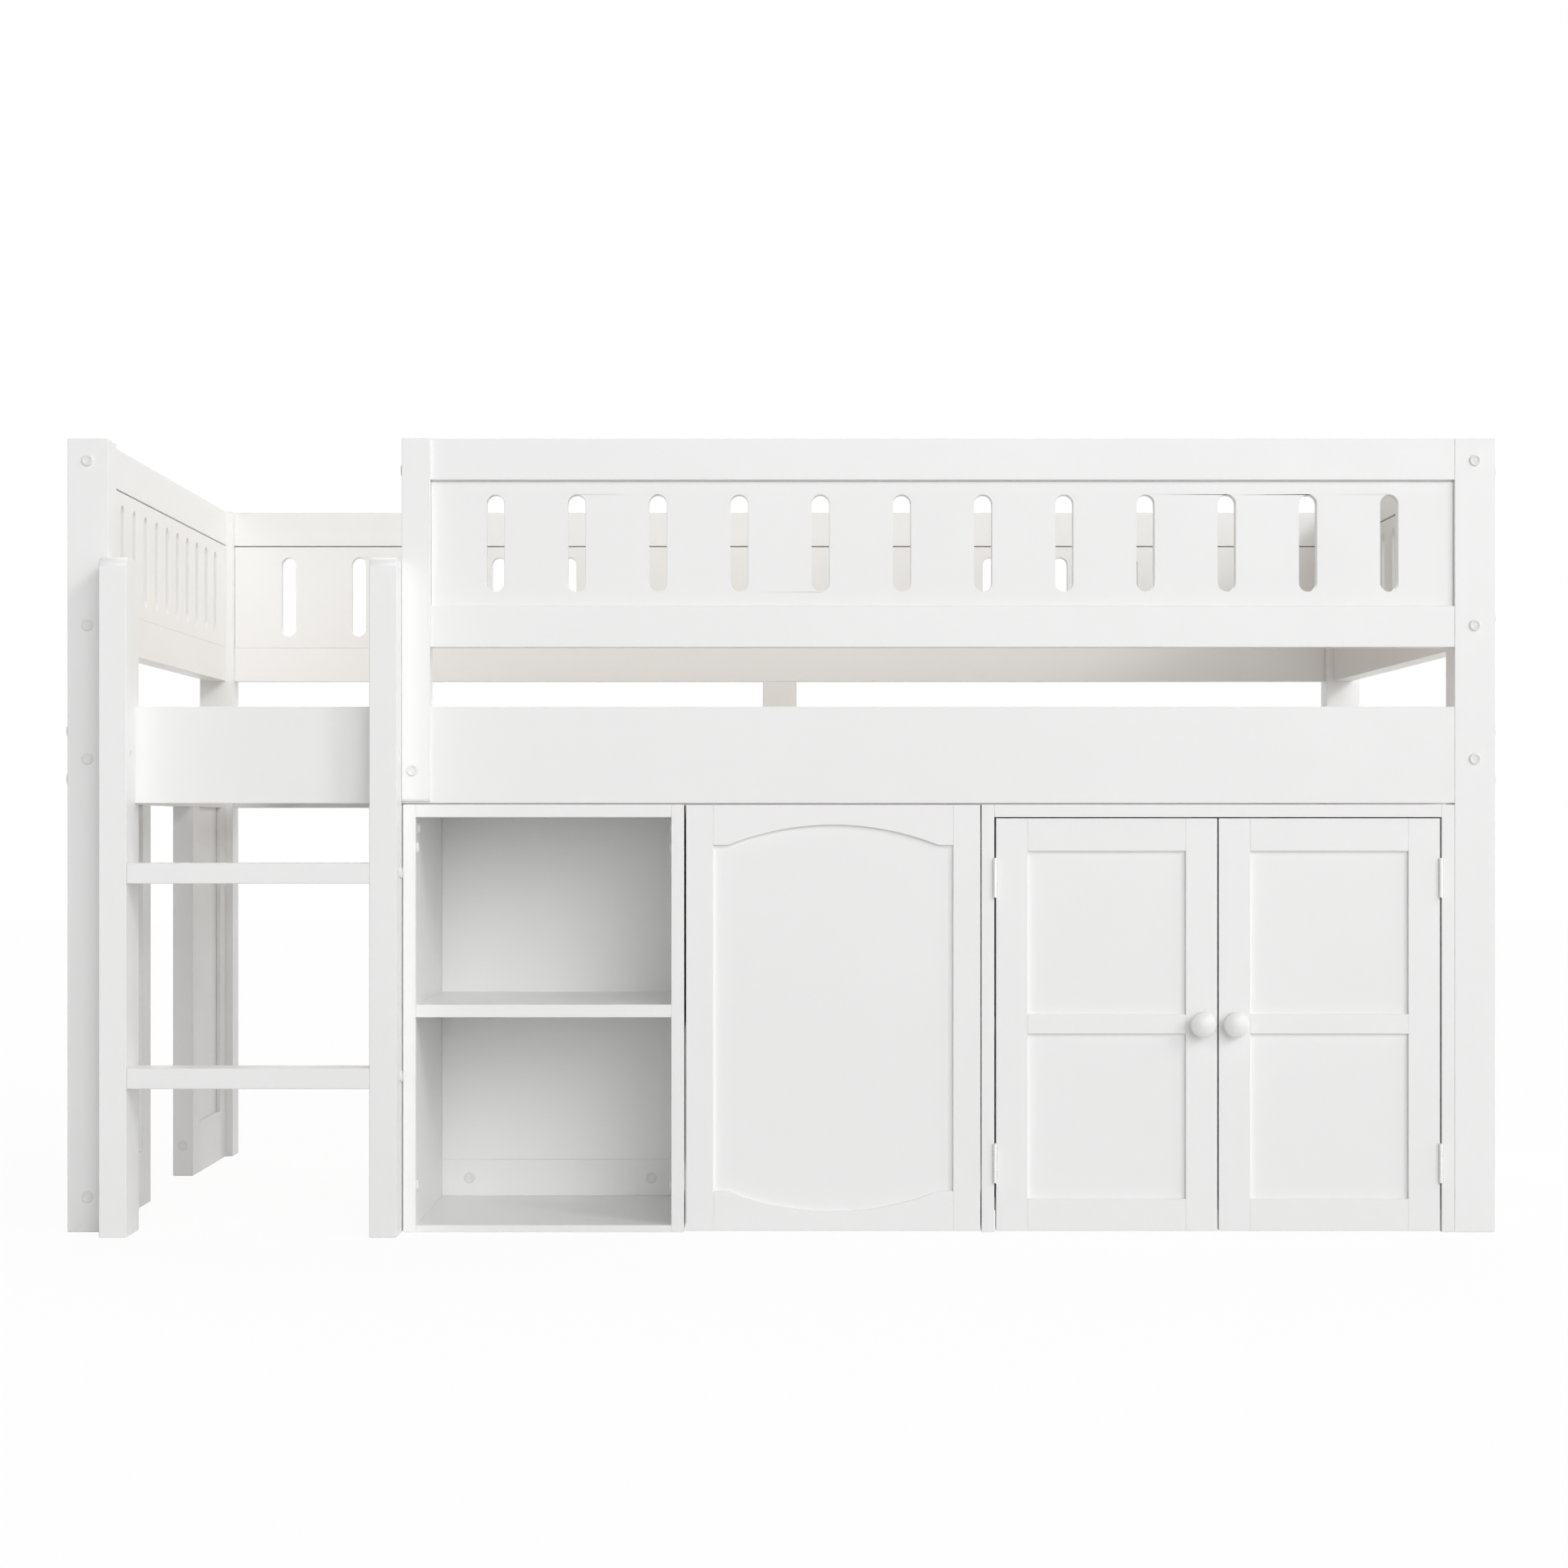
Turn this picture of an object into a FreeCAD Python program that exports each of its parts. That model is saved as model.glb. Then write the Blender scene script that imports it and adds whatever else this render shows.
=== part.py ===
import FreeCAD, Part
import math
import os

# Loft bed. Millimetres, +Z up, the front faces -Y.
# The origin lies on the floor, under the middle of the whole part.

# Corner posts
bed_length = 2020.0
frame_depth = 1055.5
post_size = 57.0

# Heights, from the floor up
unit_height = 605.2
unit_top_gap = 1.8
side_rail_height = 136.7
air_gap = 84.3
guard_rail_height = 58.5
guard_panel_height = 178.2

# Rails and slotted panels
rail_setback = 0.5
rear_rail_setback = 12.5
rail_thickness = 25.0
guard_panel_thickness = 18.0
end_rail_thickness = 33.0
end_panel_thickness = 22.0
tongue_thickness = 8.0
tongue_length = 8.0
tongue_play = 0.2
panel_reveal = 2.0
slot_width = 25.2
slot_height = 137.2
front_slot_count = 12
front_slot_margin = 91.3
rear_slot_count = 15
rear_slot_margin = 94.8
end_slot_count = 10
end_slot_margin = 99.0

# Posts of the front and rear guards
guard_post_width = 40.0
guard_post_thickness = 31.0
guard_post_proud = 5.5
guard_post_lift = 2.0
guard_post_rounding = 5.0
centre_post_width = 59.0

# Leg frames of the ends
leg_frame_width = 300.0
leg_free_stile = 57.0
leg_post_stile = 48.0
leg_rail_height = 83.0
leg_panel_thickness = 18.0
leg_bolt_height = 49.9
leg_panel_play = 0.2
leg_groove_depth = 8.0

# Ladder
ladder_rail_width = 38.5
ladder_proud = 59.4
ladder_height = 950.0
ladder_rounding = 12.0
ladder_notch_play = 0.3
rung_length = 339.0
rung_depth = 57.0
rung_thickness = 28.8
rung_bolt_inset = 41.0
lower_rung_height = 207.5
upper_rung_height = 494.3
side_play = 0.3

# Bed base
ledger_height = 25.0
ledger_thickness = 25.0
ledger_top_drop = 100.0
ledger_end_gap = 60.0
slat_count = 14
slat_width = 70.0
slat_thickness = 16.0
slat_play = 2.0

# Boards of the units under the bed
board_thickness = 18.0
back_thickness = 5.0

# Shelf unit
shelf_ladder_gap = 1.5
shelf_width = 397.7
shelf_depth = 361.0
shelf_bottom_thickness = 10.0
middle_shelf_height = 304.0
back_rail_height = 56.0
back_rail_thickness = 18.0
back_cap_share = 0.766
side_cap_depth = 17.0
side_cap_drop = 62.0
side_cap_lift = 64.0
corner_cap_depth = 37.0
corner_cap_drop = 33.0

# Cabinet, as wide as the ladder, shelf unit and desk leave it
cabinet_depth = 400.0
cabinet_bottom_lift = 29.0
cabinet_shelf_height = 284.7
cabinet_shelf_setback = 4.0
cabinet_screw_lift = 100.0

# Strip on the cabinet that guides the desk top
glide_height = 12.0
glide_drop = 4.0
glide_margin = 30.0
glide_play = 0.3

# Doors
floor_clearance = 2.0
door_thickness = 18.0
door_top_gap = 1.6
door_side_gap = 2.6
door_centre_gap = 2.3
door_back_gap = 1.0
door_stile = 44.5
door_top_rail = 46.3
door_middle_rail = 27.6
door_bottom_rail = 45.2
door_lower_opening = 233.7

# Panels let in from behind, on doors and desk
inset_depth = 6.0
inset_thickness = 6.0
inset_cover = 8.0
inset_play = 0.3

# Knobs
knob_radius = 18.3
knob_height = 27.0
knob_base_share = 0.50
knob_neck_share = 0.36
knob_neck_height_share = 0.24
knob_waist_height_share = 0.44
knob_under_share = 0.86
knob_under_height_share = 0.50
knob_rim_height_share = 0.66
knob_crown_share = 0.84
knob_crown_height_share = 0.83
knob_screw_radius = 2.0
knob_screw_length = 32.0
knob_screw_head_radius = 4.0
knob_screw_head_height = 2.4
knob_screw_play = 0.3
knob_screw_press = 0.02

# Hinges
hinge_height = 56.0
hinge_leaf_thickness = 1.0
hinge_leaf_depth = 15.0
hinge_knuckle_radius = 3.0
hinge_pin_radius = 1.5
hinge_pin_play = 0.05
hinge_pin_press = 0.02
hinge_proud_gap = 0.2
hinge_leaf_relief = 0.4
hinge_knuckle_gap = 0.3
hinge_upper_drop = 84.0
hinge_lower_lift = 96.0
hinge_middle_share = 0.4

# Desk
desk_width = 416.4
desk_length = 900.0
desk_cabinet_gap = 1.7
desk_shelf_gap = 2.9
desk_top_gap = 0.5
desk_stile = 38.5
desk_rail_height = 57.0
desk_bottom_rail_height = 56.0
arch_shoulder = 21.0
arch_rise = 28.7
desk_back_height = 300.0
axle_radius = 4.0
axle_play = 0.08
wheel_press = 0.02
axle_end_gap = 4.0
wheel_radius = 22.0
wheel_width = 18.0
wheel_rounding = 3.0
wheel_gap = 1.5
axle_block_width = 24.0
axle_block_height = 46.0
axle_block_lift = 5.0
axle_setback = 28.0
axle_block_margin = 16.0

# Bolts, barrel nuts and cover caps
bolt_radius = 3.0
bolt_bore_play = 0.5
bolt_end_play = 2.0
bolt_head_radius = 6.5
bolt_head_height = 4.0
bolt_head_recess = 1.5
bolt_past_nut = 14.0
nut_radius = 5.0
nut_length = 16.0
nut_play = 0.2
nut_setback = 28.0
side_rail_bolt_spacing = 68.0
guard_bolt_offset = 15.0
lap_cap_inset = 15.0
lap_cap_lift = 46.6
end_bolt_inset = 31.0
end_bolt_lift = 62.8
short_screw_length = 30.0
side_screw_length = 15.0
ladder_screw_length = 40.0
cap_radius = 8.0
cap_thickness = 2.8
cap_rounding = 1.2
cap_dish_radius = 5.8
cap_dish_floor_radius = 3.6
cap_dish_depth = 1.1

# Shared by every cut
overrun = 1.0
quarter_turn = 90.0
full_turn = 360.0

# Directions
along_x = FreeCAD.Vector(1, 0, 0)
along_y = FreeCAD.Vector(0, 1, 0)
along_z = FreeCAD.Vector(0, 0, 1)
middle = FreeCAD.Vector(0, 0, 0)

# Places worked out from the sizes
front_y = (ladder_proud - frame_depth - cap_thickness) / 2
rear_y = front_y + frame_depth
post_outer = bed_length / 2
post_inner = post_outer - post_size
post_centre = post_outer - post_size / 2
side_rail_bottom = unit_height + unit_top_gap
side_rail_top = side_rail_bottom + side_rail_height
guard_bottom = side_rail_top + air_gap
guard_panel_bottom = guard_bottom + guard_rail_height
guard_panel_top = guard_panel_bottom + guard_panel_height
bed_height = guard_panel_top + guard_rail_height
rail_depth = rail_setback + rail_thickness
rear_rail_depth = rear_rail_setback + rail_thickness
rail_centre_y = front_y + rail_setback + rail_thickness / 2
rear_rail_centre_y = rear_y - rear_rail_setback - rail_thickness / 2
end_inner = post_centre - end_rail_thickness / 2
end_outer = post_centre + end_rail_thickness / 2
end_length = frame_depth - post_size * 2
end_centre_y = front_y + frame_depth / 2

ladder_left = -post_inner + side_play
ladder_inner_left = ladder_left + ladder_rail_width
ladder_inner_right = ladder_inner_left + rung_length
ladder_right = ladder_inner_right + ladder_rail_width
guard_post_left = ladder_right + side_play
guard_post_right = guard_post_left + guard_post_width
guard_length = post_inner - guard_post_right
guard_centre_x = (post_inner + guard_post_right) / 2

shelf_left = ladder_right + shelf_ladder_gap
shelf_right = shelf_left + shelf_width
desk_left = shelf_right + desk_shelf_gap
desk_right = desk_left + desk_width
cabinet_left = desk_right + desk_cabinet_gap
cabinet_right = post_inner - side_play

board_under = unit_height - board_thickness
ledger_top = side_rail_top - ledger_top_drop
slat_top = ledger_top + slat_thickness

door_bottom = floor_clearance
door_top = board_under - door_top_gap
door_span_left = cabinet_left + board_thickness + door_side_gap
door_span_right = cabinet_right - board_thickness - door_side_gap
door_width = (door_span_right - door_span_left - door_centre_gap) / 2
door_lower_top = door_bottom + door_bottom_rail + door_lower_opening
door_upper_bottom = door_lower_top + door_middle_rail
door_upper_top = door_top - door_top_rail
knob_z = (door_lower_top + door_upper_bottom) / 2
cabinet_inner_y = front_y + door_thickness + door_back_gap

desk_top = unit_height - desk_top_gap
desk_board_under = desk_top - board_thickness
desk_rear_y = front_y + desk_length
desk_shoulder_top = desk_top - desk_rail_height
desk_shoulder_bottom = floor_clearance + desk_bottom_rail_height


def board(x, y, z):
    # A box from the low and high value of each direction.
    corner = FreeCAD.Vector(x[0], y[0], z[0])
    return Part.makeBox(x[1] - x[0], y[1] - y[0], z[1] - z[0], corner)


def mirrored_span(side, near, far):
    # The low and high X of a span that lies from near to far on one side.
    return tuple(sorted((side * near, side * far)))


def from_front(near, far):
    # The low and high Y of a span measured back from the posts' front faces.
    return (front_y + near, front_y + far)


def from_rear(near, far):
    # The low and high Y of a span measured forward from the posts' rear faces.
    return (rear_y - far, rear_y - near)


def rod(radius, start, direction, length):
    return Part.makeCylinder(radius, length, start, direction)


def extruded(edges, depth_vector):
    return Part.Face(Part.Wire(edges)).extrude(depth_vector)


# Fasteners


def cover_cap(face_point, into):
    # A low domed disc with a shallow dish, lying on the wood over a bolt head.
    disc = rod(cap_radius, face_point, -into, cap_thickness)
    top = face_point - into * cap_thickness
    rim = [edge for edge in disc.Edges if edge.BoundBox.Center.distanceToPoint(top) < cap_rounding]
    disc = disc.makeFillet(cap_rounding, rim[:1])
    dish = Part.makeCone(cap_dish_floor_radius, cap_dish_radius, cap_dish_depth, top + into * cap_dish_depth, -into)
    return disc.cut(dish)


def bolt_body(face_point, into, length):
    head = rod(bolt_head_radius, face_point + into * bolt_head_recess, into, bolt_head_height)
    shank_start = face_point + into * (bolt_head_recess + bolt_head_height)
    shank_length = length - bolt_head_recess - bolt_head_height
    return head.fuse(rod(bolt_radius, shank_start, into, shank_length)).removeSplitter()


def bolt_bore(face_point, into, length):
    # The hole for the shank, with the wider recess for the head.
    seat_depth = bolt_head_recess + bolt_head_height
    start = face_point - into * overrun
    recess = rod(bolt_head_radius + bolt_bore_play, start, into, seat_depth + overrun)
    hole = rod(bolt_radius + bolt_bore_play, start, into, length + bolt_end_play + overrun)
    return recess.fuse(hole)


def barrel_nut(centre, across):
    return rod(nut_radius, centre - across * (nut_length / 2), across, nut_length)


def nut_bore(centre, across, reach):
    # The cross hole of a barrel nut, drilled in from the face that lies at reach.
    start = centre - across * (nut_length / 2 + nut_play)
    return rod(nut_radius + nut_play, start, across, nut_length / 2 + nut_play + reach)


def make_screw(face_point, into, length, capped):
    solids = [bolt_body(face_point, into, length)]
    caps = [cover_cap(face_point, into)] if capped else []
    return {"solids": solids, "caps": caps, "bore": bolt_bore(face_point, into, length)}


def make_bolt(face_point, into, first_thickness, across, reach, capped=True):
    # A bolt through a piece of the given thickness into the end of another piece.
    nut_depth = first_thickness + nut_setback
    length = nut_depth + bolt_past_nut
    nut_centre = face_point + into * nut_depth
    nut = barrel_nut(nut_centre, across).cut(bolt_bore(face_point, into, length))
    bore = bolt_bore(face_point, into, length).fuse(nut_bore(nut_centre, across, reach))
    solids = [bolt_body(face_point, into, length), nut]
    caps = [cover_cap(face_point, into)] if capped else []
    return {"solids": solids, "caps": caps, "bore": bore}


def end_rail_bolts():
    # Through the posts from front and rear into the rails of both ends. The nuts
    # are let in from the outer faces, so the inner ones stay plain.
    found = []
    rail_heights = [
        bed_height - end_bolt_inset,
        guard_bottom + end_bolt_inset,
        side_rail_bottom + end_bolt_lift,
    ]
    reach = end_rail_thickness / 2 + overrun
    for side in (-1, 1):
        for face_y, into in ((front_y, along_y), (rear_y, -along_y)):
            heights = list(rail_heights)
            if side < 0 or face_y == rear_y:
                heights.append(leg_bolt_height)
            for height in heights:
                point = FreeCAD.Vector(side * post_centre, face_y, height)
                found.append(make_bolt(point, into, post_size, along_x * side, reach))
    return found


def side_rail_bolts():
    # Through the posts from the ends into the side rails.
    found = []
    centre_z = (side_rail_bottom + side_rail_top) / 2
    reach = rail_thickness / 2 + overrun
    for side in (-1, 1):
        for y in (rail_centre_y, rear_rail_centre_y):
            for step in (-1, 1):
                height = centre_z + step * side_rail_bolt_spacing / 2
                point = FreeCAD.Vector(side * post_outer, y, height)
                found.append(make_bolt(point, along_x * -side, post_size, along_y, reach))
    return found


def guard_bolt_heights():
    upper = (guard_panel_top + bed_height) / 2 - guard_bolt_offset
    lower = (guard_bottom + guard_panel_bottom) / 2 + guard_bolt_offset
    return (lower, upper)


def guard_bolts():
    # Through the posts into the ends of the guard rails. The head of the bolt that
    # lies behind the ladder rail has no cap.
    found = []
    reach = rail_thickness / 2 + overrun
    ends = [
        (post_outer, rail_centre_y, -along_x, post_size),
        (guard_post_left, rail_centre_y, along_x, guard_post_width),
        (post_outer, rear_rail_centre_y, -along_x, post_size),
        (-post_outer, rear_rail_centre_y, along_x, post_size),
    ]
    for x, y, into, thickness in ends:
        for height in guard_bolt_heights():
            capped = x != guard_post_left or height > ladder_height
            point = FreeCAD.Vector(x, y, height)
            found.append(make_bolt(point, into, thickness, along_y, reach, capped))
    return found


def guard_post_screws():
    # The lapped posts are screwed to the rails that they cross.
    found = []
    x = guard_post_left + lap_cap_inset
    lap_point = FreeCAD.Vector(x, front_y - guard_post_proud, side_rail_bottom + lap_cap_lift)
    found.append(make_screw(lap_point, along_y, short_screw_length, True))
    for height in (
        (side_rail_bottom + side_rail_top) / 2,
        (guard_bottom + guard_panel_bottom) / 2,
        (guard_panel_top + bed_height) / 2,
    ):
        found.append(make_screw(FreeCAD.Vector(0, rear_y, height), -along_y, short_screw_length, True))
    return found


def ladder_bolts():
    found = []
    bolt_y = front_y - ladder_proud + rung_bolt_inset
    reach = rung_thickness / 2 + overrun
    for height in (lower_rung_height, upper_rung_height):
        rung_z = height + rung_thickness / 2
        for x, into in ((ladder_left, along_x), (ladder_right, -along_x)):
            point = FreeCAD.Vector(x, bolt_y, rung_z)
            found.append(make_bolt(point, into, ladder_rail_width, -along_z, reach))
    hang_z = (side_rail_bottom + side_rail_top) / 2
    for x in (ladder_left + ladder_rail_width / 2, ladder_right - ladder_rail_width / 2):
        point = FreeCAD.Vector(x, front_y + rail_depth, hang_z)
        found.append(make_bolt(point, -along_y, rail_thickness, along_x, ladder_rail_width / 2))
    return found


def leg_bolts():
    # From the free end of each leg frame into its bottom rail.
    found = []
    reach = end_rail_thickness / 2 + overrun
    for side, face_y, into in leg_places():
        free_y = face_y + into.y * (post_size + leg_frame_width)
        point = FreeCAD.Vector(side * post_centre, free_y, leg_bolt_height)
        found.append(make_bolt(point, -into, leg_free_stile, along_x * side, reach))
    return found


def unit_screws():
    # Screws that fix the cabinet to its post and the shelf unit to the ladder.
    found = []
    for height in (cabinet_screw_lift, unit_height - cabinet_screw_lift):
        point = FreeCAD.Vector(cabinet_right - board_thickness, front_y + post_size / 2, height)
        found.append(make_screw(point, along_x, short_screw_length, True))
    side_places = [
        (side_cap_depth, unit_height - side_cap_drop, ladder_screw_length),
        (side_cap_depth, side_cap_lift, ladder_screw_length),
        (corner_cap_depth, unit_height - corner_cap_drop, side_screw_length),
    ]
    for depth, height, left_length in side_places:
        left_point = FreeCAD.Vector(shelf_left + board_thickness, front_y + depth, height)
        found.append(make_screw(left_point, -along_x, left_length, True))
        right_point = FreeCAD.Vector(shelf_right - board_thickness, front_y + depth, height)
        found.append(make_screw(right_point, along_x, side_screw_length, True))
    rail_front = front_y + shelf_depth - back_rail_thickness
    back_cap_spacing = (shelf_right - shelf_left - board_thickness * 2) * back_cap_share
    for step in (-1, 1):
        x = (shelf_left + shelf_right) / 2 + step * back_cap_spacing / 2
        point = FreeCAD.Vector(x, rail_front, shelf_bottom_thickness + back_rail_height / 2)
        found.append(make_screw(point, along_y, side_screw_length, True))
    return found


def drilled(shape, bores):
    # The shape without the bores that reach it.
    for bore in bores:
        if shape.BoundBox.intersect(bore.BoundBox):
            shape = shape.cut(bore)
    return shape


# Bed frame


def posts():
    made = {}
    for side, side_name in ((-1, "left"), (1, "right")):
        x = mirrored_span(side, post_inner, post_outer)
        made["post_front_" + side_name] = board(x, from_front(0, post_size), (0, bed_height))
        made["post_rear_" + side_name] = board(x, from_rear(0, post_size), (0, bed_height))
    return made


def slot(centre_x, centre_z, panel_y):
    # An upright slot with round ends, cut right through the panel.
    radius = slot_width / 2
    half = slot_height / 2 - radius
    y = panel_y[0] - overrun
    left, right = centre_x - radius, centre_x + radius
    low, high = centre_z - half, centre_z + half
    edges = [
        Part.LineSegment(FreeCAD.Vector(left, y, low), FreeCAD.Vector(left, y, high)).toShape(),
        Part.Arc(
            FreeCAD.Vector(left, y, high),
            FreeCAD.Vector(centre_x, y, high + radius),
            FreeCAD.Vector(right, y, high),
        ).toShape(),
        Part.LineSegment(FreeCAD.Vector(right, y, high), FreeCAD.Vector(right, y, low)).toShape(),
        Part.Arc(
            FreeCAD.Vector(right, y, low),
            FreeCAD.Vector(centre_x, y, low - radius),
            FreeCAD.Vector(left, y, low),
        ).toShape(),
    ]
    return extruded(edges, along_y * (panel_y[1] - panel_y[0] + overrun * 2))


def guard(length, thickness, panel_thickness, slot_count, slot_margin, inner):
    # Two grooved rails, centred on X and Y, with a slotted panel between them that is
    # flush with their inner faces. The panel's tongues enter the rails, and a shadow
    # line shows under the top rail.
    x = (-length / 2, length / 2)
    y = (-thickness / 2, thickness / 2)
    panel_y = mirrored_span(inner, thickness / 2 - panel_thickness, thickness / 2)
    tongue_y = (-tongue_thickness / 2, tongue_thickness / 2)
    groove_y = (tongue_y[0] - tongue_play, tongue_y[1] + tongue_play)
    groove_x = (x[0] - overrun, x[1] + overrun)
    groove_z = (guard_panel_bottom - tongue_length, guard_panel_top + tongue_length)
    groove = board(groove_x, groove_y, groove_z)
    top = board(x, y, (guard_panel_top, bed_height)).cut(groove)
    lower = board(x, y, (guard_bottom, guard_panel_bottom)).cut(groove)
    panel_x = (x[0] + tongue_play, x[1] - tongue_play)
    panel = board(panel_x, panel_y, (guard_panel_bottom, guard_panel_top - panel_reveal))
    tongues = board(panel_x, tongue_y, (groove_z[0] + tongue_play, groove_z[1] - tongue_play))
    panel = panel.fuse(tongues).removeSplitter()
    pitch = (length - slot_margin * 2) / (slot_count - 1)
    slot_z = (guard_panel_bottom + guard_panel_top) / 2
    first = x[0] + slot_margin
    slots = [slot(first + pitch * place, slot_z, panel_y) for place in range(slot_count)]
    return {"top_rail": top, "slotted_panel": panel.cut(slots), "lower_rail": lower}


def placed_guard(pieces, prefix, turn, place):
    made = {}
    for name, shape in pieces.items():
        shape.rotate(middle, along_z, turn)
        shape.translate(place)
        made[prefix + name] = shape
    return made


def guards():
    made = {}
    sizes = (rail_thickness, guard_panel_thickness)
    front = guard(guard_length, *sizes, front_slot_count, front_slot_margin, 1)
    front_place = FreeCAD.Vector(guard_centre_x, rail_centre_y, 0)
    made.update(placed_guard(front, "front_guard_", 0, front_place))
    rear = guard(post_inner * 2, *sizes, rear_slot_count, rear_slot_margin, -1)
    rear_place = FreeCAD.Vector(0, rear_rail_centre_y, 0)
    made.update(placed_guard(rear, "rear_guard_", 0, rear_place))
    for side, name in ((-1, "left_end_"), (1, "right_end_")):
        end_sizes = (end_rail_thickness, end_panel_thickness)
        end = guard(end_length, *end_sizes, end_slot_count, end_slot_margin, side)
        end_place = FreeCAD.Vector(side * post_centre, end_centre_y, 0)
        made.update(placed_guard(end, name, quarter_turn, end_place))
    return made


def front_guard_post():
    # Full thickness above the side rail, and thin where it laps over its face.
    x = (guard_post_left, guard_post_right)
    far = guard_post_thickness - guard_post_proud
    upper = board(x, from_front(-guard_post_proud, far), (side_rail_top, bed_height))
    lap_bottom = side_rail_bottom + guard_post_lift
    lap = board(x, from_front(-guard_post_proud, rail_setback), (lap_bottom, side_rail_top + overrun))
    post = upper.fuse(lap).removeSplitter()
    corner = FreeCAD.Vector((x[0] + x[1]) / 2, front_y - guard_post_proud, lap_bottom)
    rounded = [edge for edge in post.Edges if edge.CenterOfMass.distanceToPoint(corner) < overrun]
    return post.makeFillet(guard_post_rounding, rounded)


def rear_guard_post():
    # A strip behind the rails, with a block that fills the gap under the guard.
    x = (-centre_post_width / 2, centre_post_width / 2)
    strip_z = (side_rail_bottom + guard_post_lift, bed_height)
    strip = board(x, from_rear(0, rear_rail_setback), strip_z)
    block = board(x, from_rear(0, rear_rail_depth), (side_rail_top, guard_bottom))
    return strip.fuse(block).removeSplitter()


def bed_rails():
    # Side rails with their slat ledgers, and the cross rails of the ends.
    made = {}
    x = (-post_inner, post_inner)
    z = (side_rail_bottom, side_rail_top)
    ledger_x = (x[0] + ledger_end_gap, x[1] - ledger_end_gap)
    ledger_z = (ledger_top - ledger_height, ledger_top)
    places = [("front", from_front, rail_setback), ("rear", from_rear, rear_rail_setback)]
    for name, span, setback in places:
        inner = setback + rail_thickness
        rail = board(x, span(setback, inner), z)
        ledger = board(ledger_x, span(inner, inner + ledger_thickness), ledger_z)
        made["side_rail_" + name] = [rail, ledger]
    end_y = from_front(post_size, frame_depth - post_size)
    for side, name in ((-1, "left_end_bed_rail"), (1, "right_end_bed_rail")):
        made[name] = board(mirrored_span(side, end_inner, end_outer), end_y, z)
    return made


def leg_places():
    # Side, face of the post and direction into the bed of each leg frame.
    return [(-1, front_y, along_y), (-1, rear_y, -along_y), (1, rear_y, -along_y)]


def leg_frame(side, span):
    # Two stiles, a bottom rail and an inset panel in their grooves.
    x = mirrored_span(side, end_inner, end_outer)
    panel_half = leg_panel_thickness / 2
    panel_x = mirrored_span(side, post_centre - panel_half, post_centre + panel_half)
    far = post_size + leg_frame_width
    inner = post_size + leg_post_stile
    outer = far - leg_free_stile
    z = (0, side_rail_bottom)
    groove_span = span(inner - leg_groove_depth, outer + leg_groove_depth)
    groove_x = (panel_x[0] - leg_panel_play, panel_x[1] + leg_panel_play)
    groove_bottom = leg_rail_height - leg_groove_depth
    groove = board(groove_x, groove_span, (groove_bottom, side_rail_bottom + overrun))
    solids = [
        board(x, span(post_size, inner), z).cut(groove),
        board(x, span(outer, far), z).cut(groove),
        board(x, span(inner, outer), (0, leg_rail_height)).cut(groove),
    ]
    panel_span = (groove_span[0] + leg_panel_play, groove_span[1] - leg_panel_play)
    panel_z = (groove_bottom + leg_panel_play, side_rail_bottom)
    solids.append(board(panel_x, panel_span, panel_z))
    return solids


def leg_frames():
    return {
        "leg_frame_front_left": leg_frame(-1, from_front),
        "leg_frame_rear_left": leg_frame(-1, from_rear),
        "leg_frame_rear_right": leg_frame(1, from_rear),
    }


def bed_slats():
    # Slats across the bed, lying on the ledgers.
    first = -post_inner + ledger_end_gap
    pitch = (post_inner * 2 - ledger_end_gap * 2 - slat_width) / (slat_count - 1)
    y = from_front(rail_depth + slat_play, frame_depth - rear_rail_depth - slat_play)
    slats = []
    for place in range(slat_count):
        left = first + pitch * place
        slats.append(board((left, left + slat_width), y, (ledger_top, slat_top)))
    return {"bed_slats": slats}


# Ladder


def ladder_rail(left):
    # Notched at the back, so that it hooks over the side rail.
    x = (left, left + ladder_rail_width)
    notch = board(
        (x[0] - overrun, x[1] + overrun),
        from_front(rail_setback, rail_depth + overrun),
        (side_rail_bottom - ladder_notch_play, side_rail_top),
    )
    rail = board(x, from_front(-ladder_proud, rail_depth), (0, ladder_height)).cut(notch)
    corner = FreeCAD.Vector((x[0] + x[1]) / 2, front_y - ladder_proud, ladder_height)
    rounded = [edge for edge in rail.Edges if edge.CenterOfMass.distanceToPoint(corner) < overrun]
    return rail.makeFillet(ladder_rounding, rounded)


def ladder():
    rungs = []
    for height in (lower_rung_height, upper_rung_height):
        y = from_front(-ladder_proud, rung_depth - ladder_proud)
        z = (height, height + rung_thickness)
        rungs.append(board((ladder_inner_left, ladder_inner_right), y, z))
    return {
        "ladder_rail_left": ladder_rail(ladder_left),
        "ladder_rail_right": ladder_rail(ladder_inner_right),
        "ladder_rungs": rungs,
    }


# Units under the bed


def shelf_unit():
    y = from_front(0, shelf_depth)
    inner_x = (shelf_left + board_thickness, shelf_right - board_thickness)
    rail_front = shelf_depth - back_rail_thickness
    rail_top = shelf_bottom_thickness + back_rail_height
    shelf_z = (middle_shelf_height, middle_shelf_height + board_thickness)
    panel_y = from_front(rail_front, rail_front + back_thickness)
    return {
        "shelf_side_left": board((shelf_left, inner_x[0]), y, (0, unit_height)),
        "shelf_side_right": board((inner_x[1], shelf_right), y, (0, unit_height)),
        "shelf_top": board(inner_x, y, (board_under, unit_height)),
        "shelf_middle": board(inner_x, from_front(0, rail_front), shelf_z),
        "shelf_bottom": board(inner_x, y, (0, shelf_bottom_thickness)),
        "shelf_back": [
            board(inner_x, panel_y, (rail_top, board_under)),
            board(inner_x, from_front(rail_front, shelf_depth), (shelf_bottom_thickness, rail_top)),
        ],
    }


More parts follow.
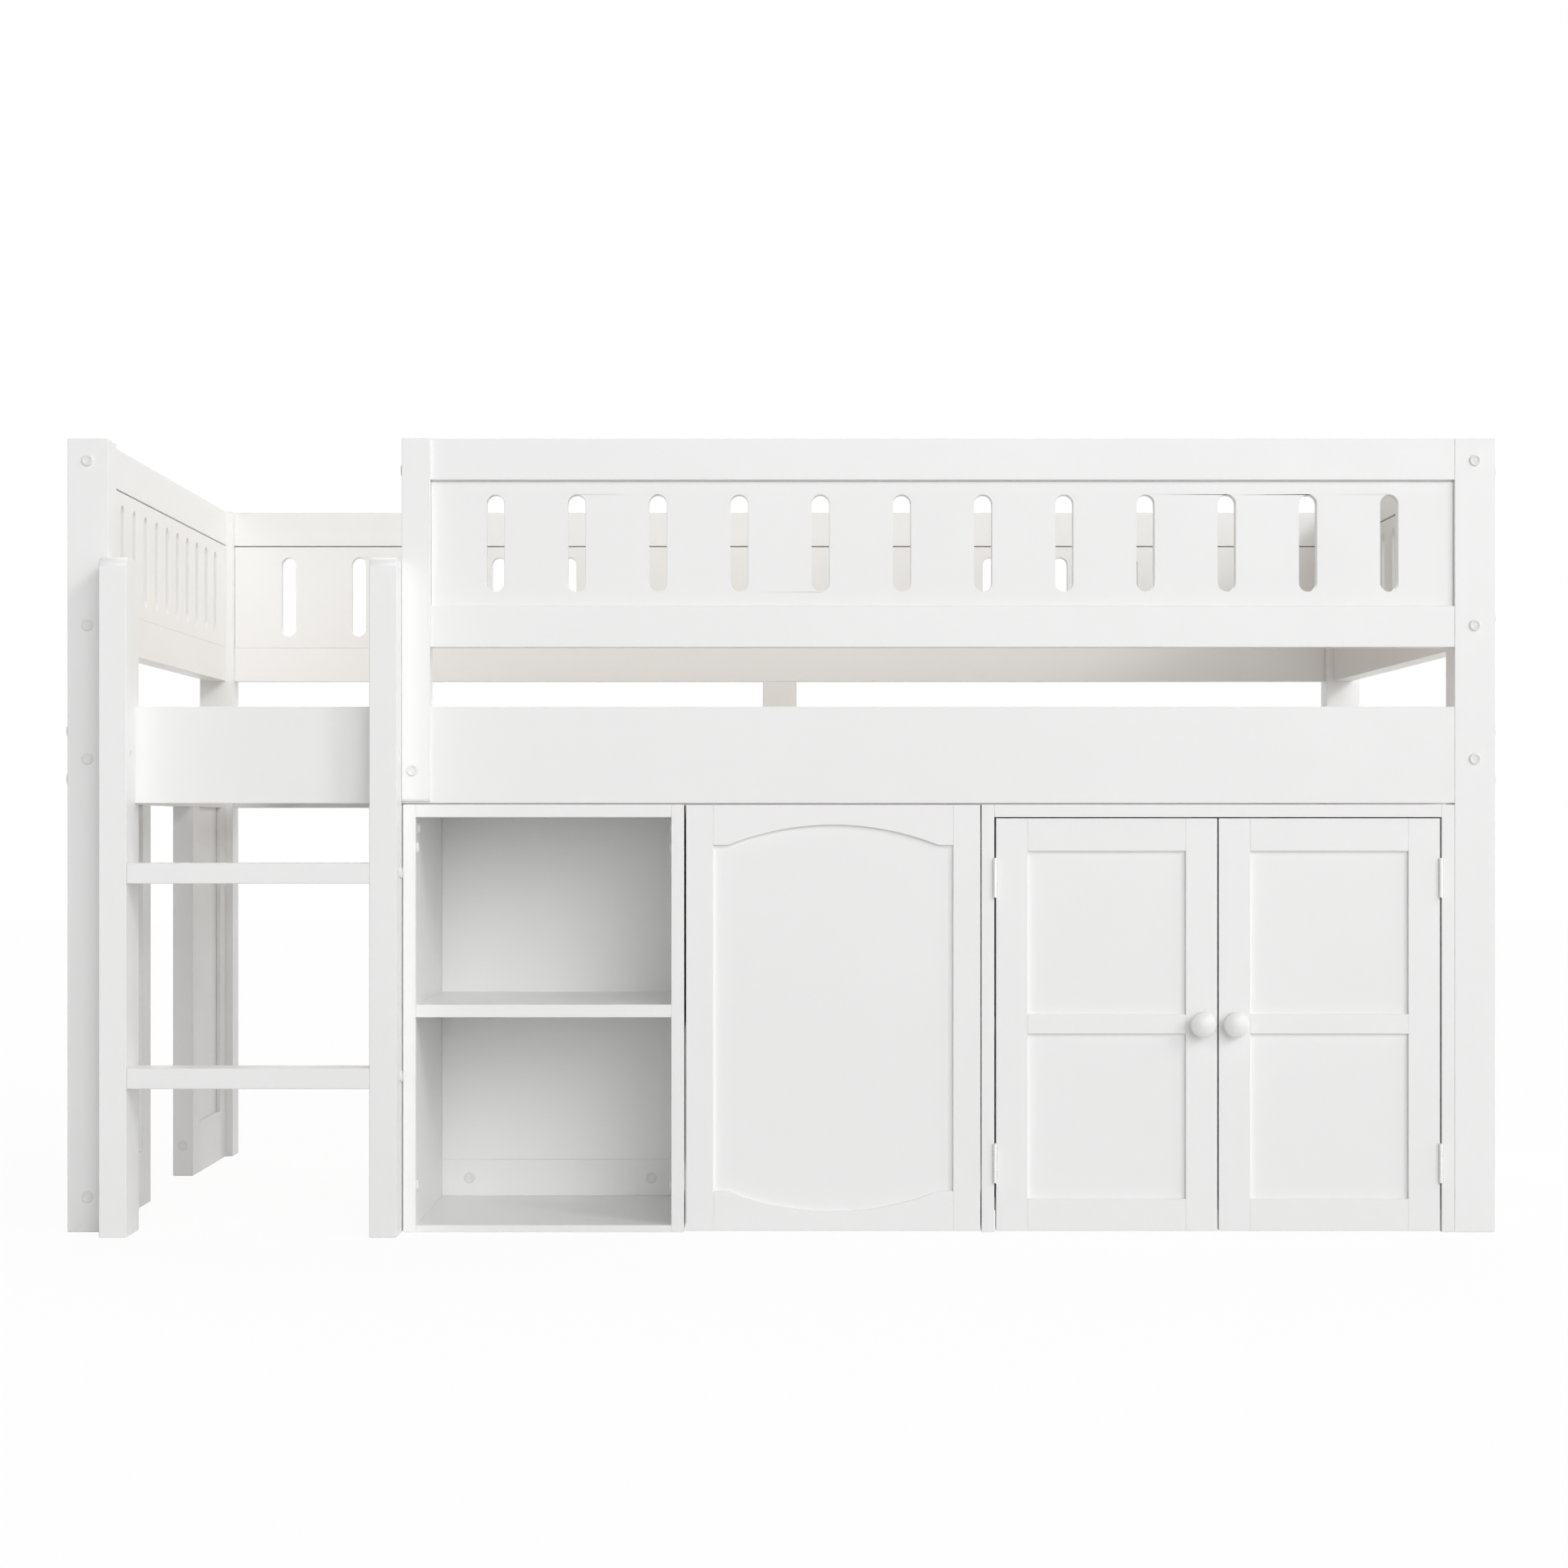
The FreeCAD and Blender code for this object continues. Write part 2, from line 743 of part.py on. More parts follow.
def desk_glide():
    # A thin strip on the cabinet's side that the desk top runs along.
    x = (desk_right + glide_play, cabinet_left)
    z_top = unit_height - glide_drop
    return board(x, from_front(glide_margin, cabinet_depth - glide_margin), (z_top - glide_height, z_top))


def cabinet():
    y = from_front(0, cabinet_depth)
    inner_x = (cabinet_left + board_thickness, cabinet_right - board_thickness)
    back_y = front_y + cabinet_depth - back_thickness
    bottom_z = (cabinet_bottom_lift, cabinet_bottom_lift + board_thickness)
    shelf_z = (cabinet_shelf_height, cabinet_shelf_height + board_thickness)
    shelf_front = cabinet_inner_y + cabinet_shelf_setback
    back_z = (cabinet_bottom_lift, unit_height)
    return {
        "cabinet_side_left": [board((cabinet_left, inner_x[0]), y, (0, unit_height)), desk_glide()],
        "cabinet_side_right": board((inner_x[1], cabinet_right), y, (0, unit_height)),
        "cabinet_top": board(inner_x, (front_y, back_y), (board_under, unit_height)),
        "cabinet_bottom": board(inner_x, (cabinet_inner_y, back_y), bottom_z),
        "cabinet_shelf": board(inner_x, (shelf_front, back_y), shelf_z),
        "cabinet_back": board(inner_x, (back_y, front_y + cabinet_depth), back_z),
    }


# Framed panels


def rebate(x, z, y_front, y_back):
    # The recess behind an opening that holds its inset panel.
    cover = inset_cover + inset_play
    return board(
        (x[0] - cover, x[1] + cover),
        (y_front + inset_depth, y_back + overrun),
        (z[0] - cover, z[1] + cover),
    )


def inset_panel(x, z, y_front):
    y = (y_front + inset_depth, y_front + inset_depth + inset_thickness)
    return board((x[0] - inset_cover, x[1] + inset_cover), y, (z[0] - inset_cover, z[1] + inset_cover))


def door(left):
    # A frame of two stiles and three rails with two inset panels.
    right = left + door_width
    y = from_front(0, door_thickness)
    inner_x = (left + door_stile, right - door_stile)
    lower_z = (door_bottom + door_bottom_rail, door_lower_top)
    upper_z = (door_upper_bottom, door_upper_top)
    recesses = [rebate(inner_x, z, y[0], y[1]) for z in (lower_z, upper_z)]
    frame = [
        board((left, inner_x[0]), y, (door_bottom, door_top)),
        board((inner_x[1], right), y, (door_bottom, door_top)),
        board(inner_x, y, (door_bottom, lower_z[0])),
        board(inner_x, y, (lower_z[1], upper_z[0])),
        board(inner_x, y, (upper_z[1], door_top)),
    ]
    frame = [piece.cut(recesses) for piece in frame]
    panels = [inset_panel(inner_x, z, y[0]) for z in (lower_z, upper_z)]
    return frame, panels


def knob(x):
    # A turned mushroom knob with its screw through the door stile.
    base_r = knob_radius * knob_base_share
    neck_r = knob_radius * knob_neck_share
    under_r = knob_radius * knob_under_share
    crown_r = knob_radius * knob_crown_share

    def point(radius, share):
        return FreeCAD.Vector(x + radius, front_y - knob_height * share, knob_z)

    # The dome is part of a ball centred on the knob's axis.
    dome_rise = knob_height * (1 - knob_crown_height_share)
    ball_radius = (crown_r**2 + dome_rise**2) / (dome_rise * 2)
    half_angle = math.asin(crown_r / ball_radius) / 2
    dome_r = ball_radius * math.sin(half_angle)
    dome_height_share = 1 - ball_radius * (1 - math.cos(half_angle)) / knob_height

    edges = [
        Part.LineSegment(point(0, 0), point(base_r, 0)).toShape(),
        Part.Arc(
            point(base_r, 0),
            point(neck_r, knob_neck_height_share),
            point(base_r, knob_waist_height_share),
        ).toShape(),
        Part.LineSegment(
            point(base_r, knob_waist_height_share), point(under_r, knob_under_height_share)
        ).toShape(),
        Part.Arc(
            point(under_r, knob_under_height_share),
            point(knob_radius, knob_rim_height_share),
            point(crown_r, knob_crown_height_share),
        ).toShape(),
        Part.Arc(
            point(crown_r, knob_crown_height_share), point(dome_r, dome_height_share), point(0, 1)
        ).toShape(),
        Part.LineSegment(point(0, 1), point(0, 0)).toShape(),
    ]
    profile = Part.Face(Part.Wire(edges))
    turned = profile.revolve(FreeCAD.Vector(x, front_y, knob_z), along_y, full_turn)
    head_start = FreeCAD.Vector(x, front_y + door_thickness, knob_z)
    head = rod(knob_screw_head_radius, head_start, along_y, knob_screw_head_height)
    shank = rod(knob_screw_radius, head_start, -along_y, knob_screw_length)
    screw = head.fuse(shank).removeSplitter()
    hole = rod(knob_screw_radius + knob_screw_press, head_start, -along_y, knob_screw_length + overrun)
    bore_start = head_start + along_y * overrun
    bore_length = door_thickness + overrun * 2
    bore = rod(knob_screw_radius + knob_screw_play, bore_start, -along_y, bore_length)
    return [turned.cut(hole), screw], bore


# Hinges


def hinge(pin_x, side, centre_z):
    # A butt hinge on one door edge. The door lies on the given side of the pin.
    low = centre_z - hinge_height / 2
    high = centre_z + hinge_height / 2
    pin_y = front_y - hinge_proud_gap - hinge_knuckle_radius
    leaf_front = front_y + hinge_leaf_relief
    leaf_back = leaf_front + hinge_leaf_depth
    half_gap = door_side_gap / 2
    middle_half = hinge_height * hinge_middle_share / 2
    middle_z = (centre_z - middle_half, centre_z + middle_half)
    fixed_spans = [(low, middle_z[0] - hinge_knuckle_gap), (middle_z[1] + hinge_knuckle_gap, high)]

    def leaf(direction, spans):
        near = half_gap - hinge_leaf_thickness
        x = tuple(sorted((pin_x + direction * near, pin_x + direction * half_gap)))
        plate = board(x, (leaf_front, leaf_back), (low, high))
        for span in spans:
            foot = FreeCAD.Vector(pin_x, pin_y, span[0])
            knuckle = rod(hinge_knuckle_radius, foot, along_z, span[1] - span[0])
            neck = board(x, (pin_y, leaf_front + overrun), span)
            plate = plate.fuse([knuckle, neck])
        return plate.removeSplitter()

    start = FreeCAD.Vector(pin_x, pin_y, low)
    pin = rod(hinge_pin_radius, start, along_z, hinge_height)
    tight = rod(hinge_pin_radius + hinge_pin_press, start, along_z, hinge_height)
    loose = rod(hinge_pin_radius + hinge_pin_play, start, along_z, hinge_height)
    fixed = leaf(-side, fixed_spans).cut(tight)
    moving = leaf(side, [middle_z]).cut(loose)
    return fixed, pin, moving


def doors():
    made = {}
    fixed_leaves = []
    heights = (door_bottom + hinge_lower_lift, door_top - hinge_upper_drop)
    places = [
        ("left", door_span_left, 1, door_span_left + door_width - door_stile / 2),
        ("right", door_span_right - door_width, -1, door_span_right - door_width + door_stile / 2),
    ]
    for name, left, side, knob_x in places:
        frame, panels = door(left)
        knob_solids, knob_bore = knob(knob_x)
        edge_x = left if side > 0 else left + door_width
        pin_x = edge_x - side * door_side_gap / 2
        leaves = []
        for height in heights:
            fixed, pin, moving = hinge(pin_x, side, height)
            fixed_leaves += [fixed, pin]
            leaves.append(moving)
        made["door_" + name + "_frame"] = [piece.cut(knob_bore) for piece in frame]
        made["door_" + name + "_panels"] = panels
        made["door_" + name + "_knob"] = knob_solids
        made["door_" + name + "_hinge_leaves"] = leaves
    made["hinge_fixed_leaves"] = fixed_leaves
    return made


# Desk


def arched_rail(x, straight_z, shoulder_z, rise, y):
    # A rail with one straight edge and one edge hollowed by an arch.
    inner_left, inner_right = x[0] + arch_shoulder, x[1] - arch_shoulder
    centre_x = (x[0] + x[1]) / 2
    shoulder_left = FreeCAD.Vector(inner_left, y[0], shoulder_z)
    shoulder_right = FreeCAD.Vector(inner_right, y[0], shoulder_z)
    crest = FreeCAD.Vector(centre_x, y[0], shoulder_z + rise)
    corners = [
        shoulder_right,
        FreeCAD.Vector(x[1], y[0], shoulder_z),
        FreeCAD.Vector(x[1], y[0], straight_z),
        FreeCAD.Vector(x[0], y[0], straight_z),
        FreeCAD.Vector(x[0], y[0], shoulder_z),
        shoulder_left,
    ]
    edges = [Part.LineSegment(start, end).toShape() for start, end in zip(corners, corners[1:])]
    edges.append(Part.Arc(shoulder_left, crest, shoulder_right).toShape())
    return extruded(edges, along_y * (y[1] - y[0]))


def desk_front():
    # Full-height stiles, arched rails between them and an inset panel.
    y = from_front(0, board_thickness)
    inner_x = (desk_left + desk_stile, desk_right - desk_stile)
    opening_z = (desk_shoulder_bottom - arch_rise, desk_shoulder_top + arch_rise)
    recess = rebate(inner_x, opening_z, y[0], y[1])
    frame = [
        board((desk_left, inner_x[0]), y, (floor_clearance, desk_top)),
        board((inner_x[1], desk_right), y, (floor_clearance, desk_top)),
        arched_rail(inner_x, desk_top, desk_shoulder_top, arch_rise, y),
        arched_rail(inner_x, floor_clearance, desk_shoulder_bottom, -arch_rise, y),
    ]
    return {
        "desk_front_frame": [piece.cut(recess) for piece in frame],
        "desk_front_panel": inset_panel(inner_x, opening_z, y[0]),
    }


def desk_carcass():
    x = (desk_left, desk_right)
    inner_y = (front_y + board_thickness, desk_rear_y - board_thickness)
    back_z = (desk_board_under - desk_back_height, desk_board_under)
    return {
        "desk_top": board(x, inner_y, (desk_board_under, desk_top)),
        "desk_rear_end": board(x, (inner_y[1], desk_rear_y), (floor_clearance, desk_top)),
        "desk_back_panel": board((desk_left, desk_left + board_thickness), inner_y, back_z),
    }


def axle_places():
    # The Y of each axle, and the side on which its end board lies.
    reach = board_thickness + axle_setback
    return [("front", front_y + reach, -1), ("rear", desk_rear_y - reach, 1)]


def axle_blocks():
    # Wooden blocks on the end boards, bored for the axles.
    blocks = []
    z = (axle_block_lift, axle_block_lift + axle_block_height)
    for name, axle_y, side in axle_places():
        y = tuple(sorted((axle_y + side * axle_setback, axle_y - side * axle_block_margin)))
        for x in (
            (desk_left, desk_left + axle_block_width),
            (desk_right - axle_block_width, desk_right),
        ):
            start = FreeCAD.Vector(x[0] - overrun, axle_y, wheel_radius)
            bore = rod(axle_radius + axle_play, start, along_x, axle_block_width + overrun * 2)
            blocks.append(board(x, y, z).cut(bore))
    return {"desk_axle_blocks": blocks}


def wheel(left, axle_y):
    start = FreeCAD.Vector(left, axle_y, wheel_radius)
    tyre = rod(wheel_radius, start, along_x, wheel_width)
    rims = [edge for edge in tyre.Edges if edge.BoundBox.XLength < overrun]
    tyre = tyre.makeFillet(wheel_rounding, rims)
    return tyre.cut(rod(axle_radius + wheel_press, start, along_x, wheel_width))


def wheelsets():
    # An axle with a wheel inside each block.
    made = {}
    for name, axle_y, side in axle_places():
        start = FreeCAD.Vector(desk_left + axle_end_gap, axle_y, wheel_radius)
        axle = rod(axle_radius, start, along_x, desk_width - axle_end_gap * 2)
        left = desk_left + axle_block_width + wheel_gap
        right = desk_right - axle_block_width - wheel_gap - wheel_width
        made["desk_wheelset_" + name] = [axle, wheel(left, axle_y), wheel(right, axle_y)]
    return made


# The whole bed


def wooden_pieces():
    made = posts()
    made.update(guards())
    made["front_guard_post"] = front_guard_post()
    made["rear_guard_post"] = rear_guard_post()
    made.update(bed_rails())
    made.update(leg_frames())
    made.update(ladder())
    made.update(shelf_unit())
    made.update(cabinet())
    return made


def all_fasteners():
    found = end_rail_bolts() + side_rail_bolts() + guard_bolts() + guard_post_screws()
    return found + ladder_bolts() + leg_bolts() + unit_screws()


def save(name, shape):
    solids = []
    for piece in shape if isinstance(shape, list) else [shape]:
        solids += piece.Solids
    whole = solids[0] if len(solids) == 1 else Part.makeCompound(solids)
    whole.exportStep("parts/" + name + ".step")


os.makedirs("parts", exist_ok=True)
fasteners = all_fasteners()
bores = [fastener["bore"] for fastener in fasteners]
pieces = {}
for name, shape in wooden_pieces().items():
    if isinstance(shape, list):
        pieces[name] = [drilled(solid, bores) for solid in shape]
    else:
        pieces[name] = drilled(shape, bores)
pieces.update(bed_slats())
pieces.update(doors())
pieces.update(desk_front())
pieces.update(desk_carcass())
pieces.update(axle_blocks())
pieces.update(wheelsets())
pieces["frame_bolts"] = [solid for fastener in fasteners for solid in fastener["solids"]]
pieces["bolt_caps"] = [cap for fastener in fasteners for cap in fastener["caps"]]
for name, shape in pieces.items():
    save(name, shape)
print("pieces", len(pieces))
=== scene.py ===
import math

import bmesh
import bpy
from mathutils import Matrix, Vector


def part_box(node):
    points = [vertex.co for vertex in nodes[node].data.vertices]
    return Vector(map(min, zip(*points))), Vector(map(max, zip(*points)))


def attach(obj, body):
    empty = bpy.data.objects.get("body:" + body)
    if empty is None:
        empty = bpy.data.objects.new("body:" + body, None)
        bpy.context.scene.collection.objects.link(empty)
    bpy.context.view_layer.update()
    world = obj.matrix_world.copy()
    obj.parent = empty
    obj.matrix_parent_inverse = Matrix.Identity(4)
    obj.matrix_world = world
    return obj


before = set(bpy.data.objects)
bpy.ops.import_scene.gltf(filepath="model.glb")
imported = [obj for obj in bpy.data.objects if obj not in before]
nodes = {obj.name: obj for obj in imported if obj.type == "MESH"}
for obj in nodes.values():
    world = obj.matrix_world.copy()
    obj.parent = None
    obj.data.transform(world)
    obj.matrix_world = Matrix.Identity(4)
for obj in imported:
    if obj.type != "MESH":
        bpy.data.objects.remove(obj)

# Looks for the loft bed: white painted wood and board, pine slats, plated fittings.
# Metres, +Z up, the front faces -Y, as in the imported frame.
scene = bpy.context.scene
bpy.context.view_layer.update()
mm = 0.001
print("frame loaded with", len(nodes), "nodes")


# Small helpers for node trees

def place(tree, kind, settings=None, wires=None):
    # Adds a node, sets it up and fills its inputs with values or wires
    node = tree.nodes.new(kind)
    for key, value in (settings or {}).items():
        setattr(node, key, value)
    for key, value in (wires or {}).items():
        socket = node.inputs[key]
        if isinstance(value, bpy.types.NodeSocket):
            tree.links.new(value, socket)
        else:
            socket.default_value = value
    return node


def sums(tree, operation, first, second, third=None):
    wires = {0: first, 1: second}
    if third is not None:
        wires[2] = third
    return place(tree, "ShaderNodeMath", {"operation": operation}, wires).outputs[0]


def vectorSums(tree, operation, first, second):
    key = "Scale" if operation == "SCALE" else 1
    result = "Value" if operation == "DISTANCE" else "Vector"
    return place(tree, "ShaderNodeVectorMath", {"operation": operation}, {0: first, key: second}).outputs[result]


def noise(tree, vector, scale, detail=2.0, roughness=0.5, distortion=0.0):
    wires = {"Vector": vector, "Scale": scale, "Detail": detail, "Roughness": roughness, "Distortion": distortion}
    return place(tree, "ShaderNodeTexNoise", None, wires).outputs["Fac"]


def blendColours(tree, factor, first, second):
    wires = {"Factor": factor, 6: first, 7: second}
    return place(tree, "ShaderNodeMix", {"data_type": "RGBA"}, wires).outputs[2]


def spread(tree, value, fromLow, fromHigh, toLow, toHigh):
    wires = {"Value": value, "From Min": fromLow, "From Max": fromHigh, "To Min": toLow, "To Max": toHigh}
    return place(tree, "ShaderNodeMapRange", None, wires).outputs[0]


def aboutMiddle(tree, value, amount, start):
    # Adds a pattern that swings about one half to a starting level
    return sums(tree, "MULTIPLY_ADD", sums(tree, "SUBTRACT", value, 0.5), amount, start)


def moveByIsland(tree, where, reach):
    # Gives each board its own piece of a pattern; hands back the board's number and the moved place
    island = place(tree, "ShaderNodeNewGeometry").outputs["Random Per Island"]
    return island, vectorSums(tree, "ADD", where, vectorSums(tree, "SCALE", reach, island))


def newSkin(name, inputs, outputs=("Color", "Roughness", "Height")):
    # A shader group with named inputs; it hands back the group, its inputs and a way to fill its outputs
    group = bpy.data.node_groups.new(name, "ShaderNodeTree")
    kinds = {"vector": "NodeSocketVector", "colour": "NodeSocketColor", "value": "NodeSocketFloat"}
    for label, kind, start in inputs:
        socket = group.interface.new_socket(name=label, in_out="INPUT", socket_type=kinds[kind])
        if start is not None:
            socket.default_value = start
    for label in outputs:
        kind = "NodeSocketColor" if label == "Color" else "NodeSocketFloat"
        group.interface.new_socket(name=label, in_out="OUTPUT", socket_type=kind)
    given = group.nodes.new("NodeGroupInput").outputs
    result = group.nodes.new("NodeGroupOutput").inputs
    return group, given, result


# Surface effects that several materials share

filmSettings = {
    "boardShift": (3.1, 7.7, 5.3),
    # scale, detail, roughness and warp of each noise
    "grain": (1.0, 4.0, 0.6, 0.4), "cloud": (2.4, 3.0, 0.55),
    "roller": (640.0, 2.0, 0.6), "handling": (9.0, 4.0, 0.65),
    "middleTone": 0.35,
    "swing": (0.3, 0.7),   # the part of a noise that counts
    "handledSheen": (-0.05, 0.06),
    "rollerSheen": (-0.02, 0.02),
    "rollerHeight": 0.5,
}


def buildPaintFilm():
    # Sprayed satin paint: slow cloudiness, a different tone for each board, faint grain and a fine roller texture
    settings = filmSettings
    group, given, result = newSkin("paintFilm", [
        ("Place", "vector", None),
        ("Paint", "colour", None),
        ("Deep Tone", "colour", None),
        ("Grain Stretch", "vector", None),
        ("Grain Depth", "value", 0.3),
        ("Cloud Amount", "value", 0.5),
        ("Board Variety", "value", 0.3),
        ("Sheen Level", "value", 0.4),
    ])
    island, shifted = moveByIsland(group, given["Place"], settings["boardShift"])
    stretched = vectorSums(group, "MULTIPLY", shifted, given["Grain Stretch"])
    grain = noise(group, stretched, *settings["grain"])
    cloud = noise(group, shifted, *settings["cloud"])
    roller = noise(group, given["Place"], *settings["roller"])
    handling = noise(group, given["Place"], *settings["handling"])
    tone = aboutMiddle(group, cloud, given["Cloud Amount"], settings["middleTone"])
    tone = aboutMiddle(group, island, given["Board Variety"], tone)
    tone = aboutMiddle(group, grain, given["Grain Depth"], tone)
    tone = place(group, "ShaderNodeClamp", None, {0: tone}).outputs[0]
    group.links.new(blendColours(group, tone, given["Paint"], given["Deep Tone"]), result["Color"])
    handled = spread(group, handling, *settings["swing"], *settings["handledSheen"])
    rolled = spread(group, roller, *settings["swing"], *settings["rollerSheen"])
    sheen = sums(group, "ADD", sums(group, "ADD", given["Sheen Level"], handled), rolled)
    group.links.new(sheen, result["Roughness"])
    rollerHeight = sums(group, "MULTIPLY", roller, settings["rollerHeight"])
    group.links.new(sums(group, "MULTIPLY_ADD", grain, given["Grain Depth"], rollerHeight), result["Height"])
    return group


rubSettings = {
    "edge": (0.95, 0.55), "samples": 4,
    "patch": (60.0, 4.0, 0.7), "patchSwing": (0.42, 0.62), "leastRub": 0.15,
}


def buildEdgeRub():
    # A broken mask along arrises, where hands and cloths thin the finish
    settings = rubSettings
    group, given, result = newSkin("edgeRub", [("Place", "vector", None), ("Reach", "value", 3 * mm)], ("Mask",))
    local = {"inside": True, "only_local": True, "samples": settings["samples"]}
    inside = place(group, "ShaderNodeAmbientOcclusion", local, {"Distance": given["Reach"]})
    edge = spread(group, inside.outputs["AO"], *settings["edge"], 0.0, 1.0)
    patches = noise(group, given["Place"], *settings["patch"])
    patchy = spread(group, patches, *settings["patchSwing"], settings["leastRub"], 1.0)
    group.links.new(sums(group, "MULTIPLY", edge, patchy), result["Mask"])
    return group


figureSettings = {
    "boardShift": (4.3, 9.1, 2.7),
    "ringStretch": (1.0, 0.07, 1.0),
    "rings": {"Scale": 26.0, "Distortion": 5.0, "Detail": 3.0, "Detail Scale": 6.0, "Detail Roughness": 0.6},
    "fibreStretch": (900.0, 12.0, 900.0), "fibre": (1.0, 3.0, 0.6),
    "knotStretch": (9.0, 4.0, 9.0), "knotReach": (0.05, 0.11),
    "ringShare": 0.65, "fibreShare": 0.35,
    "swing": (0.2, 0.8), "sheen": (0.62, 0.5),
    "fibreHeight": 0.5,
}


def buildPineFigure():
    # Planed softwood: growth rings drawn out along Y, fine fibres and a few small knots
    settings = figureSettings
    group, given, result = newSkin("pineFigure", [
        ("Place", "vector", None),
        ("Light Wood", "colour", None),
        ("Dark Wood", "colour", None),
        ("Knot", "colour", None),
    ])
    shifted = moveByIsland(group, given["Place"], settings["boardShift"])[1]
    ringSpace = {"Vector": vectorSums(group, "MULTIPLY", shifted, settings["ringStretch"]), **settings["rings"]}
    bands = {"wave_type": "BANDS", "bands_direction": "X"}
    rings = place(group, "ShaderNodeTexWave", bands, ringSpace).outputs["Fac"]
    fibre = noise(group, vectorSums(group, "MULTIPLY", shifted, settings["fibreStretch"]), *settings["fibre"])
    knotSpace = vectorSums(group, "MULTIPLY", shifted, settings["knotStretch"])
    cells = place(group, "ShaderNodeTexVoronoi", None, {"Vector": knotSpace, "Scale": 1.0, "Randomness": 1.0})
    knot = spread(group, cells.outputs["Distance"], *settings["knotReach"], 1.0, 0.0)
    ringPart = sums(group, "MULTIPLY", rings, settings["ringShare"])
    ringTone = sums(group, "MULTIPLY_ADD", fibre, settings["fibreShare"], ringPart)
    wood = blendColours(group, ringTone, given["Light Wood"], given["Dark Wood"])
    group.links.new(blendColours(group, knot, wood, given["Knot"]), result["Color"])
    group.links.new(spread(group, ringTone, *settings["swing"], *settings["sheen"]), result["Roughness"])
    group.links.new(sums(group, "MULTIPLY_ADD", fibre, settings["fibreHeight"], rings), result["Height"])
    return group


platingSettings = {
    "lines": (1.0, 3.0, 0.6), "spots": (420.0, 4.0, 0.7),
    "lineShare": 0.5, "spotShare": 0.5,
    "swing": (0.3, 0.7), "sheen": (-0.08, 0.1),
    "spotHeight": 0.4,
}


def buildMetalSkin():
    # Plated steel: clouded plating, fine brushing and small handling marks
    settings = platingSettings
    group, given, result = newSkin("metalSkin", [
        ("Place", "vector", None),
        ("Plating", "colour", None),
        ("Clouded", "colour", None),
        ("Brushing", "vector", None),
        ("Sheen Level", "value", 0.35),
    ])
    lines = noise(group, vectorSums(group, "MULTIPLY", given["Place"], given["Brushing"]), *settings["lines"])
    spots = noise(group, given["Place"], *settings["spots"])
    spotPart = sums(group, "MULTIPLY", spots, settings["spotShare"])
    tone = sums(group, "MULTIPLY_ADD", lines, settings["lineShare"], spotPart)
    group.links.new(blendColours(group, tone, given["Plating"], given["Clouded"]), result["Color"])
    marked = spread(group, spots, *settings["swing"], *settings["sheen"])
    group.links.new(sums(group, "ADD", given["Sheen Level"], marked), result["Roughness"])
    group.links.new(sums(group, "MULTIPLY_ADD", spots, settings["spotHeight"], lines), result["Height"])
    return group


mouldSettings = {
    "flow": (70.0, 3.0, 0.6, 1.5),
    "flowShare": 0.7, "stippleShare": 0.2,
    "swing": (0.3, 0.7), "sheen": (-0.06, 0.08),
}


def buildMouldedSkin():
    # Moulded plastic: a fine spark texture, slight flow marks and duller rubbed patches
    settings = mouldSettings
    group, given, result = newSkin("mouldedSkin", [
        ("Place", "vector", None),
        ("Plastic", "colour", None),
        ("Dulled", "colour", None),
        ("Texture Size", "value", 1800.0),
        ("Sheen Level", "value", 0.4),
    ])
    cells = {"Vector": given["Place"], "Scale": given["Texture Size"]}
    stipple = place(group, "ShaderNodeTexVoronoi", None, cells).outputs["Distance"]
    flow = noise(group, given["Place"], *settings["flow"])
    stipplePart = sums(group, "MULTIPLY", stipple, settings["stippleShare"])
    tone = sums(group, "MULTIPLY_ADD", flow, settings["flowShare"], stipplePart)
    group.links.new(blendColours(group, tone, given["Plastic"], given["Dulled"]), result["Color"])
    rubbed = spread(group, flow, *settings["swing"], *settings["sheen"])
    group.links.new(sums(group, "ADD", given["Sheen Level"], rubbed), result["Roughness"])
    group.links.new(stipple, result["Height"])
    return group


skins = {
    "paintFilm": buildPaintFilm(),
    "edgeRub": buildEdgeRub(),
    "pineFigure": buildPineFigure(),
    "metalSkin": buildMetalSkin(),
    "mouldedSkin": buildMouldedSkin(),
}
print("surface groups built:", len(skins))


# Materials

def startMaterial(name, shaderValues):
    material = bpy.data.materials.new(name)
    material.use_nodes = True
    tree = material.node_tree
    tree.nodes.clear()
    shader = place(tree, "ShaderNodeBsdfPrincipled", None, shaderValues)
    place(tree, "ShaderNodeOutputMaterial", None, {"Surface": shader.outputs[0]})
    return material, tree, shader, place(tree, "ShaderNodeTexCoord").outputs["Object"]


def useSkin(tree, name, values):
    node = place(tree, "ShaderNodeGroup", {"node_tree": skins[name]}, values)
    node.label = name
    return node.outputs


def wireSkin(tree, shader, colour, roughness, height, bump):
    # Joins what a skin gives to the shader, with its height as a fine bump of a given strength and depth
    strength, depth = bump
    tree.links.new(colour, shader.inputs["Base Color"])
    tree.links.new(roughness, shader.inputs["Roughness"])
    relief = place(tree, "ShaderNodeBump", None, {"Strength": strength, "Distance": depth, "Height": height})
    tree.links.new(relief.outputs[0], shader.inputs["Normal"])


def rubEdges(tree, where, reach, amount, colour, bare):
    # Blends a bare tone in along the arrises
    rub = useSkin(tree, "edgeRub", {"Place": where, "Reach": reach})["Mask"]
    return blendColours(tree, sums(tree, "MULTIPLY", rub, amount), colour, bare)


